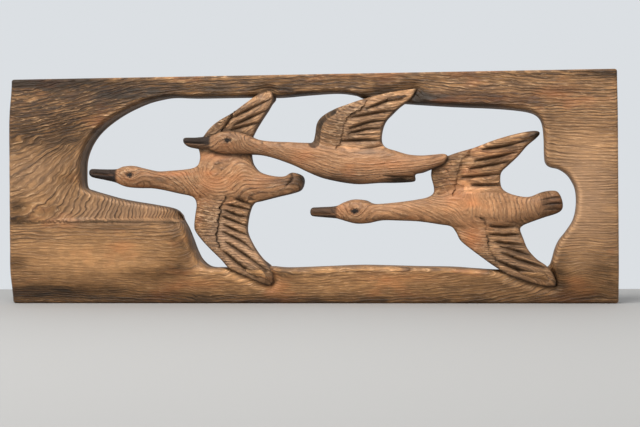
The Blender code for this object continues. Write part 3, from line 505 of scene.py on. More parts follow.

# Darker and lighter places in the wood, as (x, z, reach in x, reach in z, amount)
# Some dark places are painted shade: the band under the top rail right of the second bird's wing, and the
# patches beside the wing tips where they meet the rails
FRAME_TONES = [
    (30, 353, 130, 13, -0.30), (60, 305, 130, 45, -0.16), (95, 280, 35, 35, -0.14),
    (60, 265, 60, 16, -0.12), (12, 131, 30, 7, -0.35), (14, 155, 14, 10, -0.22), (8, 66, 22, 10, -0.30),
    (80, 19, 90, 11, -0.42), (30, 10, 60, 9, -0.25), (272, 60, 30, 22, -0.22), (225, 48, 40, 9, -0.14),
    (240, 10, 120, 16, -0.25), (150, 72, 90, 26, 0.06), (60, 95, 40, 14, 0.05), (45, 195, 50, 35, 0.03),
    (170, 332, 70, 18, -0.26), (290, 335, 90, 16, -0.22), (420, 335, 110, 17, -0.20),
    (560, 330, 90, 16, -0.14), (700, 350, 200, 7, -0.12), (700, 310, 100, 8, -0.30),
    (600, 318, 60, 12, -0.25), (917, 238, 45, 22, 0.16), (905, 250, 60, 70, 0.05),
    (900, 140, 40, 60, 0.07), (935, 349, 40, 8, -0.28), (880, 326, 50, 5, -0.14), (905, 12, 60, 13, -0.22),
    (930, 56, 25, 18, -0.16), (600, 4, 320, 9, -0.22), (360, 42, 90, 13, 0.26), (600, 42, 150, 13, 0.16),
    (300, 100, 400, 26, 0.03), (290, 20, 160, 16, 0.12), (60, 345, 90, 12, -0.14),
    (40, 262, 60, 24, -0.06), (515, 32, 110, 20, 0.20), (240, 140, 50, 14, 0.10), (110, 150, 60, 26, 0.05),
    (895, 190, 60, 90, 0.07), (190, 330, 60, 12, -0.10), (720, 318, 120, 7, -0.14),
    (100, 85, 110, 24, 0.02), (890, 200, 60, 130, -0.06), (760, 325, 200, 20, -0.04),
    (140, 90, 120, 28, -0.06), (190, 146, 90, 22, -0.07), (895, 150, 60, 110, -0.045),
    (115, 205, 50, 40, -0.06), (80, 225, 60, 26, -0.05), (284, 98, 20, 30, -0.20),
    (650, 318, 8, 10, -0.35), (745, 304, 90, 5, -0.22), (210, 333, 70, 12, -0.08),
    (420, 4, 200, 12, -0.12), (440, 42, 26, 16, -0.30), (862, 40, 12, 30, -0.25),
    (452, 328, 20, 12, -0.30), (650, 312, 18, 10, -0.25), (165, 119, 50, 6, -0.12),
    (232, 42, 34, 8, -0.14),
]
# The dark place at (500, 192) is painted shade along the second bird's lower edge
BIRD_TONES = [
    (330, 190, 60, 26, 0.07), (240, 194, 40, 14, -0.15), (370, 195, 30, 16, 0.05),
    (430, 188, 30, 12, -0.08), (330, 120, 40, 45, 0.02), (385, 80, 40, 60, 0.02),
    (375, 285, 60, 40, -0.05), (540, 215, 60, 18, 0.05), (520, 270, 30, 30, -0.06),
    (600, 290, 50, 35, -0.08), (500, 192, 60, 9, -0.40), (740, 110, 26, 20, 0.06),
    (740, 150, 60, 18, 0.12), (810, 80, 50, 45, -0.16), (675, 195, 14, 26, -0.16),
    (770, 225, 60, 26, -0.10), (825, 257, 17, 9, -0.65), (855, 150, 22, 16, -0.18),
    (600, 142, 60, 12, 0.06), (620, 189, 22, 5.5, -0.60), (400, 46, 34, 18, -0.28),
    (335, 78, 26, 16, -0.10), (466, 190, 7, 12, -0.25), (740, 145, 70, 20, 0.05), (700, 190, 25, 30, 0.04),
    (400, 240, 60, 14, -0.05), (330, 120, 30, 40, -0.05), (355, 272, 20, 20, -0.08),
    (326, 203, 44, 24, -0.035), (572, 233, 18, 5, -0.14), (710, 195, 14, 20, -0.14),
    (800, 70, 50, 40, -0.05), (850, 148, 20, 18, -0.05),
]

# The darkening beside a line, as (strength, width in metres, share of the width more that is full). It is
# painted shade at creases, grooves, steps, bevels and edges and where the birds meet the board or each
# other, stain with painted shade at the rim, and the bill's and eye's own colour and the mouth line. The
# widths of a groove's shade are shares of the groove's own
RIM_STAIN_AND_SHADE = (0.30, 0.0042, 0.10)
CREASE_SHADE = (0.72, 0.0022, 0.20)
CREASE_FADE = 0.45
JOINED_SHADE = (0.55, 0.007, 0.0)
OVERLAP_SHADOW = (0.7, 0.007, 0.0)
GROOVE_SHADE = (0.74, 0.5, 0.12)
GROOVE_HALO = (0.24, 1.1, 0.10)
STEP_FOOT_SHADE = (0.95, 0.0026, 0.25)
STEP_SPREAD_SHADE = (0.5, 0.010, 0.0)
STEP_TOP_SHADE = (0.8, 0.0014, 0.0)
EDGE_SHADE = (1.0, 0.0024, 0.10)
BILL_EDGE_STAIN = (0.95, 0.002, 0.30)
MOUTH_LINE = (1.0, 0.0014, 0.20)
EYE_RIM_STAIN = (0.75, 0.22, 0.0)
# How strong the painted shade is on finer lines, and on edges that face sideways, less what an upper
# edge loses, so that lower edges are painted darker
FINE_LINE_SHADE = 0.4
SMALL_CREASE = 0.003
SMALL_CREASE_SHADE = 0.5
STEP_PATCHINESS = 1.35
BEVEL_SHADE = 0.45
EDGE_STRENGTH = 0.55
EDGE_LOSS = 0.30
PUPIL = 0.78
# How softly one shade turns into the next, in metres and for the pupil in shares of the eye
BEVEL_SOFTNESS = 0.002
BILL_SOFTNESS = 0.006
MOUTH_SOFTNESS = 0.001
PUPIL_SOFTNESS = 0.15
# How far away a line still counts
LINE_REACH = 0.012
EDGE_REACH = 0.01
STEP_REACH = 0.02
WIDE_REACH = 0.03

# The walls and the back. A wall's darkening, stain with painted shade, is given at its front edge, with the
# painted shade it gains further back
WALL_START = 0.001
FRAME_WALL = (0.34, 0.58)
BIRD_WALL = (0.80, 0.18)
WALL_SHADE = (0.004, 0.018)
WALL_FIGURE = 0.35
WALL_STRANDS = 0.4
BACK_START = 0.004
BACK_SKIN = 0.0005
FRAME_BACK_STAIN = 0.15
BIRD_BACK_STAIN = 0.30

# The painted highlight along the opening's rounded rim, the feathers' lighter middles and the knife's
# dashes
RIM_HIGHLIGHT = 0.14
RIM_HIGHLIGHT_PLACE = 0.9
RIM_HIGHLIGHT_WIDTH = 0.003
LEAST_STRANDS = 0.15
BIRD_FIGURE_SHARE = 0.88
BIRD_STRANDS = (1.15, -0.65)
WING_WARMTH = 0.35
BODY_REACH = 1.6
RIB_LIGHT = 0.20
RIB_EDGE = (0.0022, 0.003)
FEATHER_DASHES = 0.40
LEAST_DASHES = 0.28
HEAD_DASHES = 0.75
HEAD_REACH = 4.2
HEAD_FULL = 1.25
TONE_LIMITS = (0.2, 2.0)
TONE_POWER = 2.2

# The wood's colours, as screen values from 0 to 255
FRAME_WOOD = (184, 136, 88)
FRAME_RING = (72, 50, 32)
BIRD_WOOD = (196, 142, 98)
BIRD_RING = (92, 66, 48)
ORANGE = (200, 122, 70)
PALE_WOOD = (188, 152, 122)
PALE_RING = (104, 82, 66)
SMEAR_COLOUR = (52, 38, 23)
# The dark colours that painted shade and real stain both darken towards
FRAME_STAIN_AND_SHADE_COLOUR = (48, 35, 22)
BIRD_STAIN_AND_SHADE_COLOUR = (38, 32, 29)
DUSK_TINT = (1.03, 0.95, 0.78, 1.0)
FLOOR_COLOUR = (162, 160, 157)
WORLD_COLOUR = (219, 223, 227)

# What the mesh stores for the material, and the material's own patterns: streaks that run with the
# rings, as (per metre along, per ring, detail), and clouds, as (per metre, stretch, detail, roughness)
STORED = ["rings", "warm", "mottled", "stain_and_shade", "tone", "figure", "strands", "blush"]
STREAKS = dict(hair=(74.0, 3.2, 3.0), strand=(36.0, 1.6, 4.0), band=(24.0, 0.5, 3.0))
CLOUDS = dict(
    patch=(75.0, (0.7, 1.0, 1.0), 4.0, 0.65),
    fleck=(210.0, (0.55, 1.0, 1.0), 2.0, 0.6),
    cloud=(22.0, (0.5, 1.0, 1.0), 3.0, 0.6),
    smear=(52.0, (0.35, 1.0, 1.7), 4.0, 0.6),
)
# A growth ring from its start to its end, as (place, darkness), and where flecks break its line
LATE_WOOD = [(0.0, 0.7), (0.12, 0.05), (0.55, 0.1), (0.86, 1.0), (1.0, 0.7)]
RING_BREAKS = [(0.36, 0.2), (0.52, 1.0)]
RING_FRAY = 0.30
BIRD_FRAY_LOSS = 0.6
BIRD_BREAKS = 0.85
PATCH_CONTRAST = 2.0
# Where redder clouds begin and are full, and how full
REDDER_CLOUDS = [(0.52, 0.0), (0.70, 1.0)]
REDDER_SHARE = 0.30
# How a pattern turns into a share, as (times, plus)
RING_CONTRAST = (0.7, 0.35)
STRANDS_LEFT = (-0.25, 0.75)
HAIRS_LEFT = (0.85, 0.15)
UNEVEN_BLUSH = (1.4, 0.3)
UNEVEN_TONE = (1.2, 0.4)
ROUGHNESS = (0.25, 0.40)
STAIN_AND_SHADE_ROUGHNESS = 0.3
# The tones under which dusk and dirt set in, and how fast they grow
DUSK = (1.05, 1.6)
DIRT = (0.92, 1.5)
SMEAR_LEVELS = (0.58, 0.44)
LEAST_LIGHT = 0.1
STAIN_AND_SHADE_COVER = 0.99
# Colours laid over the rings, as (pattern, its level of full colour, its level of none, the value
# that weighs it, how much of it, colour)
TINTS = [
    ("strand", 0.34, 0.60, "strand_share", 1.0, (70, 50, 34)),
    ("band", 0.38, 0.60, "strand_share", 0.55, (92, 67, 46)),
    ("patch", 0.42, 0.60, "everywhere", 0.28, (98, 72, 49)),
    # The light hairs are painted glints on the raised fibres; the dark hairs are the fibres' own colour
    ("hair", 0.68, 0.56, "hair_share", 0.55, (226, 182, 136)),
    ("hair", 0.34, 0.46, "hair_share", 0.42, (82, 58, 38)),
    ("fleck", 0.36, 0.47, "mottled", 0.60, (74, 54, 38)),
    ("fleck", 0.64, 0.54, "mottled", 0.60, (226, 184, 142)),
]
# The fine unevenness that the bump shows, as (pattern, height), and its whole height in metres
BUMPS = [("strand", 0.8), ("patch", 0.6)]
LINE_BUMP = 0.6
DASH_BUMP = 1.2
BUMP_STRENGTH = 0.95
BUMP_HEIGHT = 0.0015
SPECULAR = 0.32

# The camera, in the part's frame, fitted to the four corners of the board
CAMERA_PLACE = (0.3383, -2.4848, -0.2006)
CAMERA_YAW = 0.1294
CAMERA_ROLL = -0.0068
CAMERA_LENS = 89.55
SENSOR_WIDTH = 36.0

# The lamps, as (name, place, size, watts), and the world's light behind the camera, which grows to 1
# between two directions
LIGHTS = [
    ("key", (-0.3, -1.3, 2.0), 1.2, 66.0),
    ("left", (-2.4, -1.4, 0.6), 1.2, 20.0),
    ("right", (2.5, -1.4, 0.7), 1.2, 14.0),
]
LIGHT_TARGET = (0.0, 0.0, -0.17)
WORLD_FRONT = 0.32
WORLD_TURN = (-0.6, 0.3)

FLOOR_DEPTH_BEHIND = 0.43
FLOOR_SIZE = 3.0
FLOOR_GAP = 0.0002
FLOOR_ROUGHNESS = 0.75


def to_metres(points):
    """Turns points on the sheet into plan metres, measured from the origin."""
    sheet = np.asarray(points, dtype=float)
    across = (sheet[:, 0] - SHEET_ORIGIN[0]) * BOARD_LENGTH / SHEET_LENGTH
    up = (sheet[:, 1] - SHEET_ORIGIN[1]) * BOARD_HEIGHT / SHEET_HEIGHT
    return np.stack([across, up], axis=1)


def sheet_height(plan):
    """The height on the sheet of plan points."""
    return plan[:, 1] * SHEET_HEIGHT / BOARD_HEIGHT + SHEET_ORIGIN[1]


def sheet_length(plan):
    """The length along the sheet of plan points."""
    return plan[:, 0] * SHEET_LENGTH / BOARD_LENGTH + SHEET_ORIGIN[0]


def ease(share):
    """A smooth rise from 0 to 1."""
    held = np.clip(share, 0.0, 1.0)
    return held * held * (3.0 - 2.0 * held)


def past(distance, softness):
    """0 before a place and 1 past it, with a soft change between."""
    return ease(distance / softness + 0.5)


def round_over(distance, width):
    """The share of a rounded edge's drop that is left at a distance from the edge."""
    share = np.clip(1.0 - distance / width, 0.0, 1.0)
    return 1.0 - np.sqrt(1.0 - share * share)


def noise_at(x, z, reach_x, reach_z, seed):
    """Smooth noise at places, about -1 to 1, with its reach along and across the board."""
    return np.array([noise.noise(Vector((a / reach_x, b / reach_z, seed))) for a, b in zip(x, z)])


def smooth_curve(points, closed, pieces=CURVE_PIECES):
    """A smooth curve through the points, as a close row of points."""
    if closed:
        ring = np.vstack([points[-1:], points, points[:2]])
    else:
        ring = np.vstack([2 * points[:1] - points[1:2], points, 2 * points[-1:] - points[-2:-1]])
    share = (np.arange(pieces) / pieces)[:, None]
    rows = []
    for a, b, c, d in zip(ring, ring[1:], ring[2:], ring[3:]):
        bend = 2 * b + (c - a) * share + (2 * a - 5 * b + 4 * c - d) * share ** 2
        rows.append((bend + (3 * b - a - 3 * c + d) * share ** 3) / 2)
    if not closed:
        rows.append(points[-1:])
    return np.vstack(rows)


def even_steps(row, closed, step):
    """The same line with its points a step apart."""
    line = np.vstack([row, row[:1]]) if closed else row
    lengths = np.hypot(*np.diff(line, axis=0).T)
    reached = np.concatenate([[0.0], np.cumsum(lengths)])
    count = max(2, round(reached[-1] / step))
    wanted = np.linspace(0, reached[-1], count + 1)
    if closed:
        wanted = wanted[:-1]
    return np.stack([np.interp(wanted, reached, line[:, k]) for k in (0, 1)], axis=1)


def scalloped(line, gap, depth):
    """The same line with small round lobes along it, one to each covert feather."""
    along = np.concatenate([[0.0], np.cumsum(np.hypot(*np.diff(line, axis=0).T))])
    forward = np.gradient(line, axis=0)
    forward /= np.maximum(np.hypot(forward[:, 0], forward[:, 1]), 1e-9)[:, None]
    side = np.stack([-forward[:, 1], forward[:, 0]], axis=1)
    count = max(1, round(along[-1] / gap))
    bulge = np.abs(np.sin(math.pi * count * along / along[-1])) - SCALLOP_MIDDLE
    return line + side * (depth * bulge)[:, None]


def drawn(points, closed=True, place=(0.0, 0.0), step=OUTLINE_STEP):
    """A smooth outline or line from points on the sheet, in plan metres."""
    moved = [(x + place[0], z + place[1]) for x, z in points]
    return even_steps(smooth_curve(to_metres(moved), closed), closed, step)


def segments(line, closed):
    """The start and end points of a line's pieces."""
    if closed:
        return line, np.roll(line, -1, axis=0)
    return line[:-1], line[1:]


def small_parts(indices, pieces):
    """Indices in parts small enough to hold each against all of a line's pieces at once."""
    count = len(indices) * len(pieces) // AT_ONCE + 1
    return [part for part in np.array_split(indices, count) if len(part)]


def gaps_to(plan, starts, along):
    """The squares of the distances from points to straight pieces, and how far along each is nearest."""
    squares = np.maximum((along ** 2).sum(1), 1e-18)
    across = plan[:, 0][:, None] - starts[:, 0]
    up = plan[:, 1][:, None] - starts[:, 1]
    share = np.clip((across * along[:, 0] + up * along[:, 1]) / squares, 0.0, 1.0)
    return (across - share * along[:, 0]) ** 2 + (up - share * along[:, 1]) ** 2, share


def distance_to(plan, line, closed=False, reach=FAR):
    """Each point's distance to a line and its nearest place along it, up to a reach."""
    distances = np.full(len(plan), FAR)
    position = np.zeros(len(plan))
    low, high = line.min(0) - reach, line.max(0) + reach
    close = np.where(((plan > low) & (plan < high)).all(1))[0]
    starts, ends = segments(line, closed)
    lengths = np.sqrt(np.maximum(((ends - starts) ** 2).sum(1), 1e-18))
    before = np.concatenate([[0.0], np.cumsum(lengths)[:-1]])
    for part in small_parts(close, starts):
        gap, share = gaps_to(plan[part], starts, ends - starts)
        nearest = gap.argmin(1)
        rows = np.arange(len(part))
        distances[part] = np.sqrt(gap[rows, nearest])
        position[part] = (before[nearest] + share[rows, nearest] * lengths[nearest]) / lengths.sum()
    return distances, position


def inside(plan, outline):
    """Whether each point lies inside a closed outline."""
    result = np.zeros(len(plan), dtype=bool)
    close = np.where(((plan > outline.min(0)) & (plan < outline.max(0))).all(1))[0]
    starts, ends = segments(outline, True)
    rise = np.where(ends[:, 1] == starts[:, 1], 1e-12, ends[:, 1] - starts[:, 1])
    lean = (ends[:, 0] - starts[:, 0]) / rise
    for part in small_parts(close, starts):
        x, z = plan[part, 0][:, None], plan[part, 1][:, None]
        crosses = (starts[:, 1] > z) != (ends[:, 1] > z)
        at = starts[:, 0] + (z - starts[:, 1]) * lean
        result[part] = (crosses & (x < at)).sum(1) % 2 == 1
    return result


def board_outline():
    """The board's outline, with small rounded corners."""
    left, low = to_metres([(0, 0)])[0]
    right, high = to_metres([(SHEET_LENGTH, SHEET_HEIGHT)])[0]
    corners = [(left, low, 180), (right, low, 270), (right, high, 0), (left, high, 90)]
    points = []
    for x, z, start in corners:
        centre_x = x + (CORNER_RADIUS if x == left else -CORNER_RADIUS)
        centre_z = z + (CORNER_RADIUS if z == low else -CORNER_RADIUS)
        for turn in range(0, 91, CORNER_TURN):
            angle = math.radians(start + turn)
            points.append((centre_x + CORNER_RADIUS * math.cos(angle),
                           centre_z + CORNER_RADIUS * math.sin(angle)))
    return np.array(points)


def spread(outline, longest):
    """Adds points along a closed outline so that none are further apart than longest."""
    starts, ends = segments(outline, True)
    rows = []
    for start, end in zip(starts, ends):
        count = max(1, math.ceil(math.hypot(*(end - start)) / longest))
        share = (np.arange(count) / count)[:, None]
        rows.append(start + (end - start) * share)
    return np.vstack(rows)


def offset_points(outline, distance, closed=True):
    """Points beside an outline, to the inside where the distance is positive."""
    starts, ends = segments(outline, closed)
    along = ends - starts
    along = along / np.maximum(np.hypot(along[:, 0], along[:, 1]), 1e-9)[:, None]
    side = np.stack([-along[:, 1], along[:, 0]], axis=1)
    area = (starts[:, 0] * ends[:, 1] - ends[:, 0] * starts[:, 1]).sum()
    if closed and area < 0:
        side = -side
    points = (starts + ends) / 2 + side * distance
    reached, _ = distance_to(points, outline, closed)
    return points[reached > ROW_CLEAR * abs(distance)]


def led_in(line):
    """The same line, begun a little earlier."""
    (x, z), (next_x, next_z) = line[0], line[1]
    share = GROOVE_LEAD / math.hypot(next_x - x, next_z - z)
    return [(x - share * (next_x - x), z - share * (next_z - z))] + line


def lines_between(lines):
    """A line half way between each two neighbours of a row of lines."""
    made = []
    share = np.linspace(0, 1, FINE_LINE_POINTS)
    for pair in zip(lines, lines[1:]):
        one, other = [np.stack([np.interp(share, np.linspace(0, 1, len(line)), line[:, k])
                                for k in (0, 1)], axis=1) for line in pair]
        if np.hypot(*(one - other).T).max() < FINE_LINE_REACH:
            made.append((one + other) / 2)
    return made


def feather_area(area, place):
    """The scalloped step line of a set of long feathers and the outline of the set."""
    half = len(area) // 2 + 1
    step_line = scalloped(drawn(area[:half], False, place, SCALLOP_STEP), SCALLOP_GAP, SCALLOP_DEPTH)
    rest = to_metres([(x + place[0], z + place[1]) for x, z in area[half:]])
    return step_line, np.vstack([step_line, rest])


def drawn_bird(bird):
    """A bird's outlines and lines in plan metres, and its looks as they are."""
    place = bird["place"]
    scale = BOARD_HEIGHT / SHEET_HEIGHT

    def line(points):
        return drawn(points, False, place)

    def spots(points):
        return to_metres([(x + place[0], z + place[1]) for x, z in points])

    widths = np.array([[width, width] for _, _, width in bird["spine"]]) * scale
    eye_x, eye_z, eye_length, eye_height = bird["eye"]
    grooves = [line(led_in(groove)) for groove in bird["grooves"]]
    kept = {name: bird[name] for name in ("level", "bill_and_mouth_tones", "step_shade", "mottling")}
    return dict(
        kept,
        outline=drawn(bird["outline"], True, place),
        spine=smooth_curve(spots([(x, z) for x, z, _ in bird["spine"]]), False, SPINE_PIECES),
        widths=smooth_curve(widths, False, SPINE_PIECES)[:, 0],
        feathers=[feather_area(area, place) for area in bird["feathers"]],
        grooves=grooves,
        fine_lines=lines_between(grooves),
        creases=[(line(points), width * MM, depth * MM) for points, width, depth in bird["creases"]],
        bevels=[(line(points), width * scale) for points, width in bird["bevels"]],
        mouth=line(bird["mouth"]),
        bill_end=spots([(bird["bill_end"], 0)])[0][0],
        eye=spots([(eye_x, eye_z)])[0],
        eye_size=(eye_length * scale, eye_height * scale),
    )


class Drawing:
    """Every outline and line of the work, in plan metres."""

    def __init__(self):
        self.board = spread(board_outline(), BOARD_STEP)
        self.opening = drawn(OPENING)
        self.crease = drawn(CREASE, closed=False)
        self.lobe = drawn(LOBE_ROUND, closed=False)
        self.crevice = drawn(CREVICE, closed=False)
        self.birds = [drawn_bird(bird) for bird in BIRDS]


def board_face(plan):
    """The height of the board's rounded face above its flat back."""
    up = plan[:, 1] - to_metres([(0, 0)])[0][1]
    down = BOARD_HEIGHT - up
    top = TOP_SHOULDER_DROP * (1 + np.cos(math.pi * np.clip(down / TOP_SHOULDER_WIDTH, 0, 1))) / 2
    low = (1 + np.cos(math.pi * np.clip(up / BOTTOM_SHOULDER_WIDTH, 0, 1))) / 2
    return BOARD_THICKNESS - top - BOTTOM_SHOULDER_DROP * low


def slope_drop(plan, drawing):
    """How far the hollowed slope on the left lies below the board's face."""
    x, z = sheet_length(plan), sheet_height(plan)
    along = np.clip((x - SLOPE_LEFT) / (SLOPE_RIGHT - SLOPE_LEFT), 0, SLOPE_OVERRUN)
    upper = ease((SLOPE_TOP[1] - z) / (SLOPE_TOP[1] - SLOPE_TOP[0]))
    crease = np.interp(plan[:, 0], drawing.crease[:, 0], drawing.crease[:, 1])
    step = ease((plan[:, 1] - crease) / SLOPE_STEP_WIDTH)
    return np.where(x < SLOPE_END, SLOPE_DEPTH * along * upper * step, 0.0)


def frame_face(plan, drawing):
    """The height of the board around the opening."""
    height = board_face(plan) - slope_drop(plan, drawing)
    to_end, _ = distance_to(plan, drawing.board, True)
    height -= END_ROUND_DROP * round_over(to_end, END_ROUND_WIDTH)
    to_opening, _ = distance_to(plan, drawing.opening, True)
    height -= RIM_DROP * round_over(to_opening, RIM_WIDTH)
    to_lobe, _ = distance_to(plan, drawing.lobe, reach=LOBE_ROUND_WIDTH)
    low, rise = LOBE_FADE
    height -= LOBE_ROUND_DROP * round_over(to_lobe, LOBE_ROUND_WIDTH) * ease((height - low) / rise)
    for x, z, radius, depth in HOLLOWS:
        reach = plan - to_metres([(x, z)])
        height -= depth * np.exp(-(reach ** 2).sum(1) / radius ** 2)
    for bird in drawing.birds:
        to_bird, _ = distance_to(plan, bird["outline"], True, GROUND_WIDTH)
        height -= GROUND_DEPTH * ease(1 - to_bird / GROUND_WIDTH)
    return height - cut(plan, drawing.crevice, CREVICE_WIDTH, CREVICE_DEPTH)


def cut(plan, line, width, depth):
    """The depth of a V groove along a line, running out at both its ends."""
    distances, share = distance_to(plan, line, reach=width)
    width = width / 2 * tapered(share)
    return depth * tapered(share) * np.clip(1 - distances / width, 0, 1) ** GROOVE_SHARPNESS


def tapered(share):
    """A groove's width along its length, fullest not far from its start."""
    first, last, lean, fullness = GROOVE_TAPER
    return np.sin(math.pi * np.clip(share, first, last) ** lean) ** fullness


def near_rails(plan, reach):
    """0 on the rails, rising to 1 in the middle of the opening."""
    z = sheet_height(plan)
    return ease((z - RAIL_BOTTOM) / reach) * ease((RAIL_TOP - z) / reach)


def beside_spine(plan, bird):
    """The distance to the middle line of a bird, and the body's half width beside it."""
    to_spine, share = distance_to(plan, bird["spine"])
    steps = np.hypot(*np.diff(bird["spine"], axis=0).T)
    places = np.concatenate([[0.0], np.cumsum(steps)]) / steps.sum()
    return to_spine, np.interp(share, places, bird["widths"])


def swelling(plan, bird, edge):
    """How far a bird's body and wings stand out from its level, one running into the other."""
    to_spine, half = beside_spine(plan, bird)
    dome = np.sqrt(np.clip(1 - (to_spine / half) ** 2, 0, 1))
    body = np.minimum(BODY_RISE * half, BODY_RISE_LIMIT) * dome
    wing = WING_SWELL * ease(edge / WING_SWELL_WIDTH)
    overlap = np.clip(BODY_BLEND - np.abs(body - wing), 0, None)
    return np.maximum(body, wing) + overlap ** 2 / (4 * BODY_BLEND)


def carved_lines(plan, bird):
    """How deep a bird's feathers, grooves, creases and bevels are cut."""
    depth = np.zeros(len(plan))
    for step_line, area in bird["feathers"]:
        to_step, _ = distance_to(plan, step_line, reach=FEATHER_SLOPE)
        drop = FEATHER_STEP * np.clip(1 - to_step / FEATHER_SLOPE, 0, 1) * uneven_step(plan)
        depth += np.where(inside(plan, area), drop, 0.0)
    mouth_width, mouth_depth = MOUTH_SHARES
    cuts = [(line, GROOVE_WIDTH, GROOVE_DEPTH) for line in bird["grooves"]]
    cuts += [(line, FINE_LINE_WIDTH, FINE_LINE_DEPTH) for line in bird["fine_lines"]]
    cuts.append((bird["mouth"], GROOVE_WIDTH * mouth_width, GROOVE_DEPTH * mouth_depth))
    for line, width, deepest in cuts + bird["creases"]:
        depth += cut(plan, line, width, deepest)
    for line in bird["grooves"]:
        depth += valley(plan, line)
    for line, width in bird["bevels"]:
        gap, _ = distance_to(plan, line, reach=2 * width)
        depth += BEVEL_DROP * np.clip(1 - gap / width, 0, 1)
    return depth


def eye_cut(plan, bird):
    """How deep the eye's hollow is cut, with the eyeball left standing in it."""
    reach = eye_reach(plan, bird)
    (rim, curve), (size, rise) = EYE_HOLLOW, EYEBALL
    ball = rise * np.sqrt(np.clip(1 - (reach / size) ** 2, 0, 1))
    return EYE_DEPTH * (np.clip(rim - reach, 0, 1) ** curve - ball)


def bird_face(plan, bird):
    """The height of a bird's front, with its body, wings and feathers."""
    free = near_rails(plan, RAIL_REACH)
    level = WING_TIP_LEVEL + (bird["level"] - WING_TIP_LEVEL) * free
    edge, _ = distance_to(plan, bird["outline"], True)
    height = board_face(plan) - level + swelling(plan, bird, edge)
    edge_drop = WING_TIP_EDGE_DROP + (BIRD_EDGE_DROP - WING_TIP_EDGE_DROP) * free
    height -= edge_drop * round_over(edge, BIRD_EDGE_WIDTH)
    height -= carved_lines(plan, bird)
    height -= BILL_DROP * past(bird["bill_end"] - plan[:, 0], BILL_DROP_WIDTH)
    return height - eye_cut(plan, bird)


def eye_reach(plan, bird):
    """How far out of a bird's almond eye each point lies, 1 on the rim of the eye."""
    along = np.abs(plan[:, 0] - bird["eye"][0]) / bird["eye_size"][0]
    up = np.abs(plan[:, 1] - bird["eye"][1]) / bird["eye_size"][1]
    return (along ** EYE_CURVE + up ** EYE_CURVE) ** (1 / EYE_CURVE)


def uneven_step(plan):
    """The share of the feathers' step that is left at each place, so that its depth changes."""
    middle, swing, least, most = STEP_LEFT
    return np.clip(middle + swing * noise_at(*plan.T, STEP_PATCH, STEP_PATCH, STEP_SEED), least, most)


def valley(plan, line):
    """The broad dip beside a groove, which leaves the feathers between two grooves rounded."""
    distances, share = distance_to(plan, line, reach=VALLEY_REACH)
    first, last, fullness = VALLEY_TAPER
    taper = np.sin(math.pi * np.clip(share, first, last)) ** fullness
    return VALLEY_DEPTH * taper * np.exp(-(distances / VALLEY_WIDTH) ** 2)


def bird_back(plan, bird):
    """How far a bird's back lies in front of the board's back."""
    edge, _ = distance_to(plan, bird["outline"], True)
    middle = 1 - np.exp(-edge / BIRD_BACK_ROUND)
    lift = BIRD_BACK_EDGE + (BIRD_BACK_MIDDLE - BIRD_BACK_EDGE) * middle
    return lift * near_rails(plan, BACK_REACH)


def in_outline(plan, outline):
    """Whether points lie inside an outline or on it."""
    within = inside(plan, outline)
    near, _ = distance_to(plan[~within], outline, True, ON_EDGE)
    within[~within] = near < ON_EDGE
    return within


def in_frame(plan, drawing):
    """Whether points lie on the board around the opening, its edges included."""
    free = inside(plan, drawing.opening)
    near, _ = distance_to(plan[free], drawing.opening, True)
    free[free] = near > ON_EDGE
    return ~free


def front_height(plan, drawing):
    """The height of the whole front, and the bird on top at each point, or -1."""
    height = np.zeros(len(plan))
    top = np.full(len(plan), -1)
    framed = in_frame(plan, drawing)
    height[framed] = frame_face(plan[framed], drawing)
    for index, bird in enumerate(drawing.birds):
        on_bird = np.where(in_outline(plan, bird["outline"]))[0]
        face = bird_face(plan[on_bird], bird)
        higher = face > height[on_bird]
        height[on_bird[higher]] = face[higher]
        top[on_bird[higher]] = index
    return height - hand_worked(plan, top), top


def back_height(plan, drawing):
    """The height of the whole back: flat on the board, lifted and rounded behind the birds."""
    height = np.full(len(plan), FAR)
    for bird in drawing.birds:
        on_bird = np.where(in_outline(plan, bird["outline"]))[0]
        height[on_bird] = np.minimum(height[on_bird], bird_back(plan[on_bird], bird))
    height[in_frame(plan, drawing)] = 0.0
    return height


def hand_worked(plan, top):
    """The slight hollows that the tools left, always a little below the drawn face."""
    x, z = sheet_length(plan), sheet_height(plan)
    drop = np.zeros(len(plan))
    for reach_x, reach_z, amount, seed in TOOL_MARKS:
        drop += amount * (0.5 + 0.5 * noise_at(x, z, reach_x, reach_z, seed))
    return drop * np.where(top < 0, 1.0, BIRD_TOOL_MARKS)


def is_solid(plan, drawing):
    """Whether points lie on wood."""
    solid = inside(plan, drawing.board) & ~inside(plan, drawing.opening)
    for bird in drawing.birds:
        solid |= inside(plan, bird["outline"])
    return solid


def on_birds(plan, drawing):
    """Whether points lie on any bird."""
    held = np.zeros(len(plan), dtype=bool)
    for bird in drawing.birds:
        held |= inside(plan, bird["outline"])
    return held


def grid_points(low, high, spacing):
    """Points in staggered rows over a box, a little uneven so that no rows show."""
    random = np.random.default_rng(GRID_SEED)
    rows = []
    for index, z in enumerate(np.arange(low[1], high[1], spacing * GRID_ROW)):
        xs = np.arange(low[0] + (index % 2) * spacing / 2, high[0], spacing)
        rows.append(np.stack([xs, np.full(len(xs), z)], axis=1))
    points = np.vstack(rows)
    return points + random.uniform(-GRID_SHAKE, GRID_SHAKE, points.shape) * spacing


def clear_of(points, lines, distance):
    """The points that keep a distance from all the lines."""
    for line, closed in lines:
        gap, _ = distance_to(points, line, closed, distance)
        points = points[gap > distance]
    return points


def apart(points, distance):
    """Leaves out points that lie closer than a distance to one kept before them."""
    kept = []
    cells = {}
    for x, z in points.tolist():
        i, j = int(x // distance), int(z // distance)
        crowded = False
        for near in ((i + a, j + b) for a in (-1, 0, 1) for b in (-1, 0, 1)):
            other = cells.get(near)
            if other and math.hypot(x - other[0], z - other[1]) < distance:
                crowded = True
                break
        if not crowded:
            cells[(i, j)] = (x, z)
            kept.append((x, z))
    return np.array(kept)


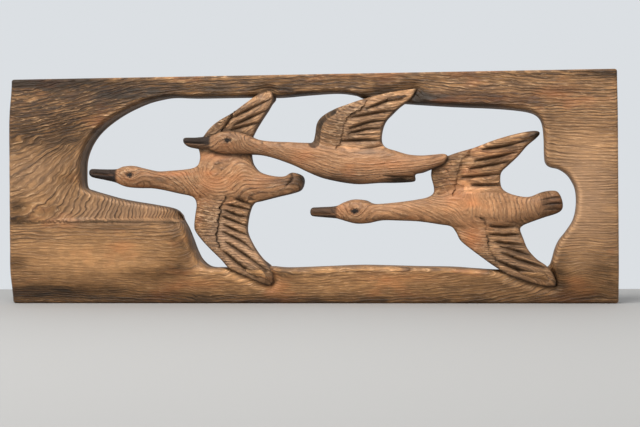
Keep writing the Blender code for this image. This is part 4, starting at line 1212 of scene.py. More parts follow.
def triangulate(lines, points):
    """Triangles over closed and open lines and loose points, as plan points and index rows."""
    corners = []
    edges = []
    for line, closed in lines:
        first = len(corners)
        corners.extend(line.tolist())
        count = len(line)
        last = count if closed else count - 1
        edges.extend((first + i, first + (i + 1) % count) for i in range(last))
    corners.extend(points.tolist())
    made = geometry.delaunay_2d_cdt([Vector(c) for c in corners], edges, [], 0, FRONT_MERGE)
    return np.array([tuple(v) for v in made[0]]), np.array(made[2])


def front_lines(drawing):
    """The lines that the front's edges follow."""
    lines = [(drawing.board, True), (drawing.opening, True), (drawing.crease, False)]
    for bird in drawing.birds:
        lines.append((bird["outline"], True))
        lines += [(step_line, False) for step_line, _ in bird["feathers"]]
        lines += [(line, False) for line in bird["grooves"] + bird["fine_lines"]]
        lines += [(line, False) for line, _, _ in bird["creases"]]
    lines.append((drawing.crevice, False))
    return lines


def front_points(drawing, lines):
    """Loose points that give the front its rounded edges, grooves and swelling bodies."""
    low, high = drawing.board.min(0), drawing.board.max(0)
    sets = [offset_points(drawing.opening, -RIM_WIDTH * share) for share in RIM_ROWS]
    sets += [offset_points(drawing.board, END_ROUND_WIDTH * share) for share in END_ROWS]
    for bird in drawing.birds:
        sets.append(offset_points(bird["outline"], -STEP_FOOT))
        sets += [offset_points(bird["outline"], BIRD_EDGE_WIDTH * share) for share in BIRD_EDGE_ROWS]
        cuts = [(line, GROOVE_WIDTH) for line in bird["grooves"]]
        for line, width in cuts + [(line, width) for line, width, _ in bird["creases"]]:
            sets += [offset_points(line, width * share, False) for share in GROOVE_ROWS]
        for step_line, _ in bird["feathers"]:
            sets += [offset_points(step_line, side * STEP_FOOT, False) for side in (-1, 1)]
    beside = clear_of(np.vstack(sets), lines, ROW_GAP)
    fine = grid_points(low, high, BIRD_GRID)
    fine = fine[on_birds(fine, drawing)]
    coarse = grid_points(low, high, FRAME_GRID)
    coarse = coarse[is_solid(coarse, drawing)]
    grids = clear_of(np.vstack([fine, coarse]), lines, GRID_GAP)
    points = apart(np.vstack([beside, grids]), POINT_GAP)
    return points[is_solid(points, drawing)]


def edge_loop_pairs(triangles):
    """The edges that only one triangle has, in that triangle's direction."""
    pairs = np.vstack([triangles[:, [0, 1]], triangles[:, [1, 2]], triangles[:, [2, 0]]])
    seen = set(map(tuple, pairs.tolist()))
    return [pair for pair in seen if (pair[1], pair[0]) not in seen]


def back_points(rim_pieces, drawing):
    """Loose points over the back: where the opening's edge crosses wood, beside the birds and in grids."""
    low, high = drawing.board.min(0), drawing.board.max(0)
    fine = grid_points(low, high, BACK_BIRD_GRID)
    fine = fine[on_birds(fine, drawing) & ~in_frame(fine, drawing)]
    coarse = grid_points(low, high, BACK_GRID)
    coarse = coarse[is_solid(coarse, drawing)]
    row = np.vstack([offset_points(bird["outline"], d) for bird in drawing.birds for d in BACK_ROWS])
    row = row[is_solid(row, drawing) & ~in_frame(row, drawing)]
    crossing = drawing.opening[is_solid(drawing.opening, drawing)]
    crossing = away_from(crossing, rim_pieces, CROSSING_GAP)
    loose = clear_of(np.vstack([row, fine, coarse]), [(drawing.opening, True)], BACK_LINE_GAP)
    loose = apart(away_from(loose, rim_pieces, BACK_RIM_GAP), BACK_POINT_GAP)
    return np.vstack([crossing, loose])


def back_mesh(rim, rim_edges, drawing):
    """The back's own triangles, over the same rim points, and the rim point that each point came from."""
    loose = back_points(rim[rim_edges], drawing)
    vectors = [Vector(c) for c in np.vstack([rim, loose]).tolist()]
    edges = [tuple(e) for e in rim_edges.tolist()]
    made = geometry.delaunay_2d_cdt(vectors, edges, [], 0, BACK_MERGE)
    plan = np.array([tuple(v) for v in made[0]])
    triangles = np.array(made[2])
    source = [orig[0] if orig else -1 for orig in made[3]]
    return plan, triangles[is_solid(plan[triangles].mean(1), drawing)], source


def away_from(points, pieces, distance):
    """The points that keep a distance from all of a set of straight pieces."""
    starts, ends = pieces[:, 0], pieces[:, 1]
    keep = np.zeros(len(points), dtype=bool)
    for part in small_parts(np.arange(len(points)), pieces):
        gap, _ = gaps_to(points[part], starts, ends - starts)
        keep[part] = gap.min(1) > distance ** 2
    return points[keep]


def rounds(x, z, stretch, gap, radii):
    """Guides for rings that close round a centre."""
    guides = []
    for radius in radii:
        for step in range(ROUND_GUIDES):
            turn = math.radians(360 / ROUND_GUIDES * (step + 0.5))
            out_x, out_z = math.cos(turn) / stretch, math.sin(turn)
            angle = math.degrees(math.atan2(-out_x, out_z))
            guides.append((x + radius * stretch * math.cos(turn), z + radius * math.sin(turn), angle, gap))
    return guides


def laid_rings(guides):
    """Ring numbers over the sheet that run with the guides, on a grid of small squares."""
    across = np.arange(0, SHEET_LENGTH + RING_GRID, RING_GRID)
    up = np.arange(0, SHEET_HEIGHT + RING_GRID, RING_GRID)
    x, z = np.meshgrid(across, up)
    rise_x, rise_z, total = np.zeros(x.shape), np.zeros(x.shape), np.zeros(x.shape)
    for guide_x, guide_z, angle, gap in guides:
        weight = ((x - guide_x) ** 2 + (z - guide_z) ** 2 + GUIDE_REACH ** 2) ** -2.0
        rise_x -= weight * math.sin(math.radians(angle)) / gap
        rise_z += weight * math.cos(math.radians(angle)) / gap
        total += weight
    rise_x, rise_z = rise_x / total, rise_z / total
    # The sheet is mirrored on each side, so that the sums below see no step at its edges
    wide_x = np.block([[rise_x, -rise_x[:, ::-1]], [rise_x[::-1], -rise_x[::-1, ::-1]]])
    wide_z = np.block([[rise_z, rise_z[:, ::-1]], [-rise_z[::-1], -rise_z[::-1, ::-1]]])
    turns_x = 2 * math.pi * np.fft.fftfreq(wide_x.shape[1], RING_GRID)[None, :]
    turns_z = 2 * math.pi * np.fft.fftfreq(wide_x.shape[0], RING_GRID)[:, None]
    squares = turns_x ** 2 + turns_z ** 2
    squares[0, 0] = 1.0
    total = turns_x * np.fft.fft2(wide_x) + turns_z * np.fft.fft2(wide_z)
    numbers = np.fft.ifft2(-1j * total / squares).real
    return numbers[:len(up), :len(across)]


def looked_up(grid, x, z):
    """The grid's numbers at places on the sheet, between its first and last rows."""
    column = np.clip(x / RING_GRID, 0, grid.shape[1] - GRID_END)
    row = np.clip(z / RING_GRID, 0, grid.shape[0] - GRID_END)
    i, j = column.astype(int), row.astype(int)
    s, t = column - i, row - j
    low = grid[j, i] * (1 - s) + grid[j, i + 1] * s
    high = grid[j + 1, i] * (1 - s) + grid[j + 1, i + 1] * s
    return low * (1 - t) + high * t


def rippled(x, z, seed):
    """Small wanderings of the rings, longer along the board than across it."""
    total = np.zeros(len(x))
    for reach_x, reach_z, amount in RIPPLES:
        total += amount * noise_at(x, z, reach_x, reach_z, seed)
    return total


def chevrons(laid, x, z):
    """The bent rings that cross the third bird's body."""
    start_x, middle_z = CHEVRON_MIDDLE
    bent = (x + CHEVRON_BEND * (z - middle_z) ** 2 - start_x) / CHEVRON_GAP
    upper, lower = [at_z + rise * (x - at_x) for at_x, at_z, rise in (CHEVRON_TOP, CHEVRON_LOW)]
    (left, right), (left_fade, edge_fade, right_fade) = CHEVRON_ENDS, CHEVRON_FADES
    share = ease((x - left) / left_fade) * ease((right - x) / right_fade)
    share *= ease((upper - z) / edge_fade) * ease((z - lower) / edge_fade)
    middle = np.median(laid[share > 0.5])
    return laid * (1 - share) + (bent + middle) * share


def numbers_on(first, second, place):
    """What a second set of rings needs added to number on from the first at a place."""
    x, z = np.array([place[0]]), np.array([place[1]])
    return looked_up(first, x, z) - looked_up(second, x, z)


def frame_rings(plan, drawing):
    """The rings around the opening: over all of it, on the left slope, and below the slope's crease."""
    x, z = sheet_length(plan), sheet_height(plan)
    whole, left, low = [laid_rings(guides) for guides in (FRAME_GRAIN, LEFT_GRAIN, LOW_LEFT_GRAIN)]
    edge = LEFT_GRAIN_TOP + sum(rise * np.sin(x / reach + start) for rise, reach, start in LEFT_GRAIN_WAVES)
    left_share = past(edge - z, LEFT_GRAIN_FADE) * (x < LEFT_GRAIN_END)
    left_numbers = looked_up(left, x, z) + numbers_on(whole, left, LEFT_MEETING)
    upper = looked_up(whole, x, z) * (1 - left_share) + left_numbers * left_share
    crease = np.interp(plan[:, 0], drawing.crease[:, 0], drawing.crease[:, 1])
    low_share = ease((LOW_GRAIN_END - x) / LOW_GRAIN_FADE) * (plan[:, 1] < crease)
    lower = looked_up(low, x, z) + numbers_on(whole, low, LOW_MEETING)
    return upper * (1 - low_share) + lower * low_share


def bird_rings(plan, index):
    """The rings of one bird, some of them closed round its eye and its shoulder."""
    x, z = sheet_length(plan), sheet_height(plan)
    grain, closed = BIRD_RINGS[index]
    guides = list(grain)
    for ring in closed:
        guides += rounds(*ring)
    laid = looked_up(laid_rings(guides), x, z)
    return chevrons(laid, x, z) if BIRDS[index] is BIRD_3 else laid


def ring_numbers(places, part, drawing):
    """The growth ring at each place in the wood, as a running number."""
    plan = places[:, [0, 2]]
    x, z = sheet_length(plan), sheet_height(plan)
    numbers = frame_rings(plan, drawing) - places[:, 1] / FRAME_RING_DEPTH
    for index in range(len(BIRDS)):
        held = part == index
        numbers[held] = bird_rings(plan[held], index) - places[held, 1] / BIRD_RING_DEPTH
    wander = np.where(part < 0, np.maximum(tones(plan, WANDER), LEAST_WANDER), BIRD_WANDER)
    share, finer_x, finer_z = FINE_RIPPLES
    finer = share * rippled(finer_x * x, finer_z * z, FINE_RIPPLE_SEED)
    return numbers + wander * (rippled(x, z, RIPPLE_SEED) + finer)


def front_mesh(drawing):
    """The front's plan points and triangles."""
    lines = front_lines(drawing)
    plan, triangles = triangulate(lines, front_points(drawing, lines))
    triangles = triangles[is_solid(plan[triangles].mean(1), drawing)]
    used, flat = np.unique(triangles, return_inverse=True)
    return plan[used], flat.reshape(triangles.shape)


def wall_points(front, back, first):
    """The points of a wall between a front and a back point, and their indices from a first one on."""
    points = [tuple(front + (back - front) * share) for share in WALL_SHARES[1:-1]]
    return points, list(range(first, first + len(points)))


def wall_faces(pairs, columns):
    """Faces from band to band, all along the front's rim."""
    faces = []
    for a, b in pairs:
        for k in range(len(WALL_SHARES) - 1):
            faces.append((columns[b][k], columns[a][k], columns[a][k + 1], columns[b][k + 1]))
    return faces


def make_panel(drawing):
    """The carved board as one closed mesh: its front, its own back and the walls between them."""
    plan, triangles = front_mesh(drawing)
    heights, _ = front_height(plan, drawing)
    pairs = edge_loop_pairs(triangles)
    rim_ids = sorted({i for pair in pairs for i in pair})
    place_in_rim = {i: n for n, i in enumerate(rim_ids)}
    rim_edges = np.array([[place_in_rim[a], place_in_rim[b]] for a, b in pairs])
    back_plan, back_triangles, source = back_mesh(plan[rim_ids], rim_edges, drawing)
    rim_back = {rim_ids[s]: n for n, s in enumerate(source) if 0 <= s < len(rim_ids)}
    front = np.stack([plan[:, 0], -heights, plan[:, 1]], axis=1)
    back = np.stack([back_plan[:, 0], -back_height(back_plan, drawing), back_plan[:, 1]], axis=1)
    columns, extra = {}, []
    for front_id in rim_ids:
        back_id = rim_back[front_id]
        wall = back[back_id] * (0, 1, 0) + front[front_id] * (1, 0, 1)
        points, ids = wall_points(front[front_id], wall, len(front) + len(back) + len(extra))
        extra += points
        columns[front_id] = [front_id] + ids + [len(front) + back_id]
    places = np.vstack([front, back, np.array(extra)])
    faces = triangles.tolist() + (len(front) + back_triangles[:, ::-1]).tolist()
    return closed_mesh(places, faces + wall_faces(pairs, columns))


def closed_mesh(places, faces):
    """A mesh of points and faces that all face outwards, without loose points."""
    mesh = bpy.data.meshes.new("carved_relief")
    mesh.from_pydata(places.tolist(), [], faces)
    shape = bmesh.new()
    shape.from_mesh(mesh)
    loose = [v for v in shape.verts if not v.link_faces]
    bmesh.ops.delete(shape, geom=loose, context="VERTS")
    bmesh.ops.recalc_face_normals(shape, faces=shape.faces)
    shape.to_mesh(mesh)
    shape.free()
    return mesh


def store(mesh, name, values):
    """Keeps one number for each point of a mesh under a name."""
    layer = mesh.attributes.new(name, "FLOAT", "POINT")
    layer.data.foreach_set("value", np.asarray(values, dtype=np.float32))


def tones(plan, spots):
    """How dark or light the wood is, 1 where it is plain."""
    x, z = sheet_length(plan), sheet_height(plan)
    tone = np.ones(len(plan))
    for centre_x, centre_z, reach_x, reach_z, amount in spots:
        tone += amount * np.exp(-((x - centre_x) / reach_x) ** 2 - ((z - centre_z) / reach_z) ** 2)
    return tone


def in_feathers(spots, bird):
    """Whether each place lies among a bird's long feathers."""
    within = np.zeros(len(spots), dtype=bool)
    for _, area in bird["feathers"]:
        within |= inside(spots, area)
    return within


def mottling(spots, bird, body):
    """How much each place shows the small dashes of the knife: most on the wings' shorter feathers."""
    amount = (1 - body) * np.where(in_feathers(spots, bird), FEATHER_DASHES, 1.0)
    from_eye = (spots - bird["eye"]) / (HEAD_REACH * np.array(bird["eye_size"]))
    head = ease(HEAD_FULL - np.hypot(*from_eye.T))
    return bird["mottling"] * np.maximum(np.maximum(amount, LEAST_DASHES), HEAD_DASHES * head)


def darkening_beside(gap, kind):
    """The darkening at a distance from a line, full beside it, then fading out: painted shade and stain
    alike.
    """
    strength, width, full = kind
    return strength * ease(1 + full - gap / width)


def bill_shade(spots, bird, dark):
    """The stained bill, in two shades that meet along the mouth."""
    upper, lower, mouth = bird["bill_and_mouth_tones"]
    line = bird["mouth"]
    level = np.interp(spots[:, 0], line[:, 0], line[:, 1])
    shade = lower + (upper - lower) * past(spots[:, 1] - level, MOUTH_SOFTNESS)
    edge, _ = distance_to(spots, bird["outline"], True, EDGE_REACH)
    shade = np.maximum(shade, darkening_beside(edge, BILL_EDGE_STAIN))
    gap, _ = distance_to(spots, line, reach=EDGE_REACH)
    # The line along the mouth, on the first bird a painted highlight
    shade += (mouth - shade) * darkening_beside(gap, MOUTH_LINE)
    share = past(bird["bill_end"] - spots[:, 0], BILL_SOFTNESS)
    return dark * (1 - share) + shade * share


def groove_shade(spots, bird):
    """The painted shade in and beside a bird's grooves, fine lines and creases."""
    dark = np.zeros(len(spots))
    lines = [(line, GROOVE_WIDTH, 1.0) for line in bird["grooves"]]
    lines += [(line, FINE_LINE_WIDTH, FINE_LINE_SHADE) for line in bird["fine_lines"]]
    lines += [(line, width, 1.0 if width > SMALL_CREASE else SMALL_CREASE_SHADE)
              for line, width, _ in bird["creases"]]
    fainter = tones(spots, FAINTER_GROOVE_SHADE)
    for line, width, amount in lines:
        gap, share = distance_to(spots, line, reach=LINE_REACH)
        widths_off = gap / (width * tapered(share))
        deep = fainter * darkening_beside(widths_off, GROOVE_SHADE)
        dark = np.maximum(dark, amount * np.maximum(deep, darkening_beside(widths_off, GROOVE_HALO)))
    return dark


def step_shade(spots, bird):
    """The patchy painted shade along the steps down to the long feathers, and on the bevels."""
    dark = np.zeros(len(spots))
    patchy = uneven_step(spots)
    for (step_line, area), amount in zip(bird["feathers"], bird["step_shade"]):
        gap, _ = distance_to(spots, step_line, reach=STEP_REACH)
        foot = np.maximum(darkening_beside(gap, STEP_FOOT_SHADE), darkening_beside(gap, STEP_SPREAD_SHADE))
        beside = np.where(inside(spots, area), foot, darkening_beside(gap, STEP_TOP_SHADE))
        strong = amount * np.clip(STEP_PATCHINESS * patchy, 0.0, 1.0)
        dark = np.maximum(dark, strong * beside)
    for line, width in bird["bevels"]:
        gap, _ = distance_to(spots, line, reach=WIDE_REACH)
        dark = np.maximum(dark, BEVEL_SHADE * (1 + patchy) * past(width - gap, BEVEL_SOFTNESS))
    return dark


def bird_stain_and_shade(spots, bird):
    """The darkening on a bird: painted shade in its grooves, steps and edges, and the stain of its bill and
    eye.
    """
    dark = np.maximum(groove_shade(spots, bird), step_shade(spots, bird))
    gap, share = distance_to(spots, bird["outline"], True, EDGE_REACH)
    # Painted shade along the edges, darker where an edge faces down
    edge = (EDGE_STRENGTH - EDGE_LOSS * facing_up(bird["outline"], share)) * darkening_beside(gap, EDGE_SHADE)
    dark = np.maximum(dark, edge * np.maximum(tones(spots, JOINED), 0.0))
    dark = bill_shade(spots, bird, dark)
    reach = eye_reach(spots, bird)
    rim = darkening_beside(np.abs(reach - 1.0), EYE_RIM_STAIN)
    return np.maximum(dark, np.maximum(rim, past(PUPIL - reach, PUPIL_SOFTNESS)))


def facing_up(outline, share):
    """How far an outline faces upwards at places along it, from -1 to 1."""
    starts, ends = segments(outline, True)
    along = ends - starts
    lengths = np.hypot(along[:, 0], along[:, 1])
    area = (starts[:, 0] * ends[:, 1] - ends[:, 0] * starts[:, 1]).sum()
    up = -along[:, 0] / np.maximum(lengths, 1e-9) * np.sign(area)
    middles = (np.cumsum(lengths) - lengths / 2) / lengths.sum()
    return np.interp(share, middles, up)


def rib_tone(spots, bird):
    """The long feathers are painted lighter along their middles, away from the grooves."""
    nearest = np.full(len(spots), FAR)
    for line in bird["grooves"]:
        gap, _ = distance_to(spots, line, reach=LINE_REACH)
        nearest = np.minimum(nearest, gap)
    start, width = RIB_EDGE
    shown = in_feathers(spots, bird) & (nearest < FAR)
    return np.where(shown, RIB_LIGHT * ease((nearest - start) / width), 0.0)


def frame_look(plan, drawing):
    """What the material needs to know at places on the board around the opening."""
    to_opening, _ = distance_to(plan, drawing.opening, True, WIDE_REACH)
    # Painted shade along the crease at the foot of the slope's step
    to_crease, share = distance_to(plan, drawing.crease, reach=EDGE_REACH)
    creased = darkening_beside(to_crease, CREASE_SHADE) * ease(share / CREASE_FADE)
    # Stain with painted shade on the rim as it rolls into the opening
    stain_and_shade = np.maximum(darkening_beside(to_opening, RIM_STAIN_AND_SHADE), creased)
    # Painted shade on the board where the birds meet it, less where a wing runs into it
    for bird in drawing.birds:
        beside, _ = distance_to(plan, bird["outline"], True, STEP_REACH)
        stain_and_shade = np.maximum(stain_and_shade, darkening_beside(beside, JOINED_SHADE) * np.maximum(tones(plan, JOINED), 0.0))
    # A painted highlight along the rounded rim round the opening
    rim_highlight = np.exp(-((to_opening - RIM_HIGHLIGHT_PLACE * RIM_WIDTH) / RIM_HIGHLIGHT_WIDTH) ** 2)
    return dict(
        warm=np.zeros(len(plan)),
        mottled=np.zeros(len(plan)),
        stain_and_shade=stain_and_shade,
        tone=tones(plan, FRAME_TONES) + RIM_HIGHLIGHT * rim_highlight,
        figure=tones(plan, FIGURE),
        strands=np.maximum(tones(plan, STRANDS), LEAST_STRANDS),
        blush=tones(plan, FRAME_BLUSH) - 1.0,
    )


def bird_look(plan, bird, drawing):
    """What the material needs to know at places on a bird."""
    to_spine, half = beside_spine(plan, bird)
    body = ease(BODY_REACH - to_spine / half)
    stain_and_shade = bird_stain_and_shade(plan, bird)
    # Painted shadow that the second bird casts on the birds it lies over, along its outline
    second = drawing.birds[1]
    if bird is not second:
        beside, _ = distance_to(plan, second["outline"], True, EDGE_REACH)
        stain_and_shade = np.maximum(stain_and_shade, darkening_beside(beside, OVERLAP_SHADOW))
    warm = WING_WARMTH + (1 - WING_WARMTH) * body
    strands, change = BIRD_STRANDS
    return dict(
        warm=warm,
        mottled=mottling(plan, bird, body),
        stain_and_shade=stain_and_shade,
        tone=tones(plan, BIRD_TONES) + rib_tone(plan, bird),
        figure=BIRD_FIGURE_SHARE * tones(plan, BIRD_FIGURE),
        strands=strands + change * warm,
        blush=tones(plan, BIRD_BLUSH) - 1.0,
    )


def stain_and_shade_walls(look, depth, framed, behind):
    """Darkens the walls with stain and painted shade that grows further back, quietens their grain, plains
    the back.
    """
    walls = depth > WALL_START
    start, reach = WALL_SHADE
    deeper = ease((depth - start) / reach)
    (frame_edge, frame_gain), (bird_edge, bird_gain) = FRAME_WALL, BIRD_WALL
    dark = np.where(framed, frame_edge + frame_gain * deeper, bird_edge + bird_gain * deeper)
    look["stain_and_shade"][walls] = np.maximum(look["stain_and_shade"], dark)[walls]
    look["stain_and_shade"][behind] = np.where(framed, FRAME_BACK_STAIN, BIRD_BACK_STAIN)[behind]
    look["mottled"][walls] = 0.0
    look["blush"][walls] = 0.0
    look["figure"][walls & ~behind] *= WALL_FIGURE
    look["strands"][walls & ~behind] *= WALL_STRANDS


def paint(mesh, drawing):
    """Stores the rings and the looks of the wood at every point."""
    places = np.empty(len(mesh.vertices) * 3)
    mesh.vertices.foreach_get("co", places)
    places = places.reshape(-1, 3)
    plan = places[:, [0, 2]]
    front, part = front_height(plan, drawing)
    look = frame_look(plan, drawing)
    for index, bird in enumerate(drawing.birds):
        held = np.where(part == index)[0]
        for name, values in bird_look(plan[held], bird, drawing).items():
            look[name][held] = values
    depth = front + places[:, 1]
    behind = (-places[:, 1] < back_height(plan, drawing) + BACK_SKIN) & (depth > BACK_START)
    stain_and_shade_walls(look, depth, part < 0, behind)
    look["tone"] = np.clip(look["tone"], *TONE_LIMITS) ** TONE_POWER
    look["rings"] = ring_numbers(places, part, drawing)
    for name in STORED:
        store(mesh, name, look[name])


def linear(red, green, blue):
    """A colour given in the usual 0 to 255 screen values, for a shader."""
    def one(value):
        share = value / 255.0
        return share / 12.92 if share <= 0.04045 else ((share + 0.055) / 1.055) ** 2.4
    return (one(red), one(green), one(blue), 1.0)


class Nodes:
    """Short ways to add and join a material's nodes."""

    def __init__(self, material):
        material.use_nodes = True
        self.tree = material.node_tree
        self.shader = self.tree.nodes["Principled BSDF"]
        self.place = self.add("ShaderNodeTexCoord").outputs["Object"]

    def add(self, kind, **settings):
        """A new node with its settings."""
        node = self.tree.nodes.new(kind)
        for name, value in settings.items():
            setattr(node, name, value)
        return node

    def put(self, socket, value):
        """Joins a socket to another, or sets its value."""
        if hasattr(value, "is_linked"):
            self.tree.links.new(value, socket)
        else:
            socket.default_value = value

    def maths(self, operation, *values, clamp=False):
        """One step of reckoning with numbers or sockets."""
        node = self.add("ShaderNodeMath", operation=operation, use_clamp=clamp)
        for socket, value in zip(node.inputs, values):
            self.put(socket, value)
        return node.outputs[0]

    def times(self, first, second, clamp=False):
        return self.maths("MULTIPLY", first, second, clamp=clamp)

    def fitted(self, value, scale, start, clamp=False):
        """A value times a scale, and a start added."""
        return self.maths("MULTIPLY_ADD", value, scale, start, clamp=clamp)

    def less(self, first, second):
        return self.maths("SUBTRACT", first, second)

    def stored(self, name):
        return self.add("ShaderNodeAttribute", attribute_name=name).outputs["Fac"]

    def noise(self, place, scale, detail, roughness):
        node = self.add("ShaderNodeTexNoise")
        settings = dict(Vector=place, Scale=scale, Detail=detail, Roughness=roughness)
        for name, value in settings.items():
            self.put(node.inputs[name], value)
        return node.outputs["Fac"]

    def clouds(self, scale, stretch, detail, roughness):
        """Cloudy variation, stretched along the axes."""
        mapping = self.add("ShaderNodeMapping")
        self.put(mapping.inputs["Scale"], stretch)
        self.put(mapping.inputs["Vector"], self.place)
        return self.noise(mapping.outputs[0], scale, detail, roughness)

    def streaks(self, rings, along, across, detail):
        """Streaks that run with the growth rings: many to a ring, and long beside their width."""
        split = self.add("ShaderNodeSeparateXYZ")
        self.put(split.inputs[0], self.place)
        x, z = split.outputs["X"], split.outputs["Z"]
        joined = self.add("ShaderNodeCombineXYZ")
        for axis, value, scale in (("X", x, along), ("Y", rings, across), ("Z", z, along)):
            self.put(joined.inputs[axis], self.times(value, scale))
        return self.noise(joined.outputs[0], 1.0, detail, 0.5)

    def scaled(self, colour, share):
        """A colour made lighter or darker by a share."""
        node = self.add("ShaderNodeVectorMath", operation="SCALE")
        self.put(node.inputs[0], colour)
        self.put(node.inputs["Scale"], share)
        return node.outputs[0]

    def greys(self, value, stops):
        """A soft ramp between shades of grey, given as (level of the value, shade)."""
        node = self.add("ShaderNodeValToRGB")
        node.color_ramp.interpolation = "EASE"
        points = node.color_ramp.elements
        for index in (0, -1):
            level, shade = stops[index]
            points[index].position = level
            points[index].color = (shade, shade, shade, 1.0)
        for level, shade in stops[1:-1]:
            points.new(level).color = (shade, shade, shade, 1.0)
        self.put(node.inputs[0], value)
        return node.outputs[0]

    def mix(self, share, first, second, kind="MIX"):
        node = self.add("ShaderNodeMix", data_type="RGBA", blend_type=kind)
        self.put(node.inputs["Factor"], share)
        self.put(node.inputs[6], first)
        self.put(node.inputs[7], second)
        return node.outputs[2]

    def tinted(self, wood, value, full, none, share, colour):
        """A colour laid over the wood, in full at one level of a value and not at all at another."""
        amount = self.greys(value, sorted([(full, 1.0), (none, 0.0)]))
        return self.mix(self.times(amount, share), wood, linear(*colour))


def ring_line(nodes, value):
    """The dark end of each growth ring, plainer in some rings than in others, and broken on the birds."""
    frayed = nodes.times(nodes.fitted(value["warm"], -BIRD_FRAY_LOSS, 1.0), RING_FRAY)
    ring = nodes.fitted(value["hair"], frayed, value["rings"])
    white = nodes.add("ShaderNodeTexWhiteNoise", noise_dimensions="1D")
    nodes.put(white.inputs["W"], nodes.maths("FLOOR", ring))
    late = nodes.greys(nodes.maths("FRACT", ring), LATE_WOOD)
    contrast = nodes.times(nodes.fitted(white.outputs["Value"], *RING_CONTRAST), value["figure"])
    contrast = nodes.times(contrast, nodes.times(value["patch"], PATCH_CONTRAST), clamp=True)
    whole = nodes.less(1.0, nodes.times(value["warm"], BIRD_BREAKS))
    broken = nodes.greys(value["fleck"], RING_BREAKS)
    contrast = nodes.times(contrast, nodes.maths("MAXIMUM", broken, whole))
    return nodes.times(late, contrast)


def grained(nodes, value):
    """The two woods with their rings, and the streaks, patches and dashes over them, the light hairs
    painted glints.
    """
    frame_wood = nodes.mix(value["line"], linear(*FRAME_WOOD), linear(*FRAME_RING))
    bird_wood = nodes.mix(value["line"], linear(*BIRD_WOOD), linear(*BIRD_RING))
    wood = nodes.mix(value["warm"], frame_wood, bird_wood)
    for pattern, full, none, weight, amount, colour in TINTS:
        share = nodes.times(value[weight], amount)
        wood = nodes.tinted(wood, value[pattern], full, none, share, colour)
    return wood


def toned(nodes, value, wood):
    """Orange, pale, light and dark places, some painted shade and highlight, with smears of old stain on
    the darkest.
    """
    tone = value["tone"]
    redder = nodes.greys(value["cloud"], REDDER_CLOUDS)
    blush = nodes.times(value["blush"], nodes.fitted(value["patch"], *UNEVEN_BLUSH))
    orange = nodes.fitted(redder, REDDER_SHARE, blush, clamp=True)
    wood = nodes.mix(orange, wood, linear(*ORANGE))
    pale = nodes.mix(value["line"], linear(*PALE_WOOD), linear(*PALE_RING))
    wood = nodes.mix(nodes.times(value["blush"], -1.0, clamp=True), wood, pale)
    uneven = nodes.fitted(value["cloud"], *UNEVEN_TONE)
    light = nodes.fitted(nodes.less(tone, 1.0), uneven, 1.0)
    wood = nodes.scaled(wood, nodes.maths("MAXIMUM", light, LEAST_LIGHT))
    dusk_tone, dusk_gain = DUSK
    dusk = nodes.times(nodes.less(dusk_tone, tone), dusk_gain, clamp=True)
    dusk = nodes.times(dusk, nodes.less(1.0, value["warm"]))
    wood = nodes.mix(dusk, wood, DUSK_TINT, "MULTIPLY")
    dirt_tone, dirt_gain = DIRT
    dirty = nodes.times(nodes.less(dirt_tone, tone), dirt_gain, clamp=True)
    return nodes.tinted(wood, value["smear"], *SMEAR_LEVELS, dirty, SMEAR_COLOUR)


def stained_and_shaded(nodes, value, wood):
    """The wood under the dark of grooves, edges and walls: painted shade, and stain on the walls, bill and
    eye.
    """
    colour = nodes.mix(value["warm"], linear(*FRAME_STAIN_AND_SHADE_COLOUR), linear(*BIRD_STAIN_AND_SHADE_COLOUR))
    return nodes.mix(nodes.times(value["stain_and_shade"], STAIN_AND_SHADE_COVER), wood, colour)


def add_surface(nodes, value):
    """The roughness and the fine unevenness of brushed wood."""
    rough = nodes.fitted(value["strand"], *ROUGHNESS)
    rough = nodes.fitted(value["stain_and_shade"], STAIN_AND_SHADE_ROUGHNESS, rough, clamp=True)
    nodes.put(nodes.shader.inputs["Roughness"], rough)
    nodes.put(nodes.shader.inputs["Specular IOR Level"], SPECULAR)
    relief = nodes.fitted(value["line"], LINE_BUMP, nodes.times(value["hair"], value["hair_share"]))
    for pattern, height in BUMPS:
        relief = nodes.fitted(value[pattern], height, relief)
    relief = nodes.fitted(value["fleck"], nodes.times(value["mottled"], DASH_BUMP), relief)
    bump = nodes.add("ShaderNodeBump")
    nodes.put(bump.inputs["Strength"], BUMP_STRENGTH)
    nodes.put(bump.inputs["Distance"], BUMP_HEIGHT)
    nodes.put(bump.inputs["Height"], relief)
    nodes.put(nodes.shader.inputs["Normal"], bump.outputs[0])


def stained_pine():
    """Brushed pine: raised growth rings, dark stain in the soft wood, worn lighter on the birds."""
    material = bpy.data.materials.new("stained_pine")
    nodes = Nodes(material)
    value = {name: nodes.stored(name) for name in STORED}
    value.update((name, nodes.streaks(value["rings"], *sizes)) for name, sizes in STREAKS.items())
    value.update((name, nodes.clouds(*sizes)) for name, sizes in CLOUDS.items())
    value["everywhere"] = 1.0
    value["strand_share"] = nodes.times(value["strands"], nodes.fitted(value["warm"], *STRANDS_LEFT))
    value["hair_share"] = nodes.fitted(value["strands"], *HAIRS_LEFT)
    value["line"] = ring_line(nodes, value)
    wood = stained_and_shaded(nodes, value, toned(nodes, value, grained(nodes, value)))
    nodes.put(nodes.shader.inputs["Base Color"], wood)
    add_surface(nodes, value)
    return material


def plain(name, colour, roughness):
    material = bpy.data.materials.new(name)
    nodes = Nodes(material)
    nodes.shader.inputs["Base Color"].default_value = colour
    nodes.shader.inputs["Roughness"].default_value = roughness
    return material


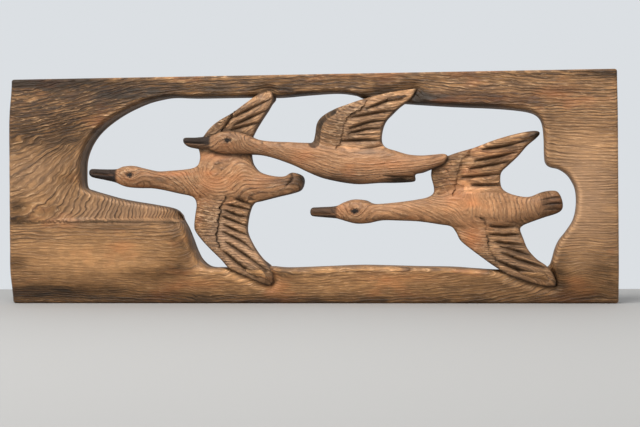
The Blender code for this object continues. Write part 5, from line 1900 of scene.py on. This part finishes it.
def add_camera():
    """The camera at the photo's place and angle."""
    camera = bpy.data.objects.new("camera", bpy.data.cameras.new("camera"))
    bpy.context.scene.collection.objects.link(camera)
    forward = Vector((-math.sin(CAMERA_YAW), math.cos(CAMERA_YAW), 0.0))
    right = Vector((math.cos(CAMERA_YAW), math.sin(CAMERA_YAW), 0.0))
    up = right.cross(forward)
    turned_right = math.cos(CAMERA_ROLL) * right + math.sin(CAMERA_ROLL) * up
    turned_up = math.cos(CAMERA_ROLL) * up - math.sin(CAMERA_ROLL) * right
    rotation = Matrix((turned_right, turned_up, -forward)).transposed()
    camera.matrix_world = Matrix.Translation(CAMERA_PLACE) @ rotation.to_4x4()
    camera.data.lens = CAMERA_LENS
    camera.data.sensor_width = SENSOR_WIDTH
    bpy.context.scene.camera = camera


def add_light(name, place, size, energy):
    """A soft square lamp that faces the middle of the board."""
    lamp = bpy.data.lights.new(name, "AREA")
    lamp.size = size
    lamp.energy = energy
    holder = bpy.data.objects.new(name, lamp)
    holder.location = place
    facing = Vector(LIGHT_TARGET) - Vector(place)
    holder.rotation_euler = facing.to_track_quat("-Z", "Y").to_euler()
    bpy.context.scene.collection.objects.link(holder)


def add_floor(low):
    """A plain pale floor under the board's lower edge."""
    mesh = bpy.data.meshes.new("floor")
    corners = [(-FLOOR_SIZE, -FLOOR_SIZE), (FLOOR_SIZE, -FLOOR_SIZE),
               (FLOOR_SIZE, FLOOR_DEPTH_BEHIND), (-FLOOR_SIZE, FLOOR_DEPTH_BEHIND)]
    mesh.from_pydata([(x, y, low) for x, y in corners], [], [(0, 1, 2, 3)])
    mesh.materials.append(plain("pale_floor", linear(*FLOOR_COLOUR), FLOOR_ROUGHNESS))
    floor = bpy.data.objects.new("floor", mesh)
    bpy.context.scene.collection.objects.link(floor)


def add_world():
    """A pale studio: even and light behind the board, dimmer behind the camera."""
    world = bpy.data.worlds.new("studio")
    world.use_nodes = True
    tree = world.node_tree
    back = tree.nodes["Background"]
    place = tree.nodes.new("ShaderNodeTexCoord")
    split = tree.nodes.new("ShaderNodeSeparateXYZ")
    tree.links.new(place.outputs["Generated"], split.inputs[0])
    front = tree.nodes.new("ShaderNodeMapRange")
    front.inputs["From Min"].default_value, front.inputs["From Max"].default_value = WORLD_TURN
    front.inputs["To Min"].default_value = WORLD_FRONT
    front.inputs["To Max"].default_value = 1.0
    tree.links.new(split.outputs["Y"], front.inputs["Value"])
    tree.links.new(front.outputs["Result"], back.inputs["Strength"])
    back.inputs["Color"].default_value = linear(*WORLD_COLOUR)
    bpy.context.scene.world = world


def main():
    drawing = Drawing()
    mesh = make_panel(drawing)
    paint(mesh, drawing)
    mesh.materials.append(stained_pine())
    mesh.shade_smooth()
    mesh.set_sharp_from_angle(angle=math.radians(SHARP_ANGLE))
    relief = bpy.data.objects.new("carved_relief", mesh)
    bpy.context.scene.collection.objects.link(relief)
    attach(relief, "root")
    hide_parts("carved_panel")
    add_camera()
    add_floor(CAD_BOX[0][2] - FLOOR_GAP)
    add_world()
    for light in LIGHTS:
        add_light(*light)
    bpy.context.scene.view_settings.view_transform = "Standard"


main()
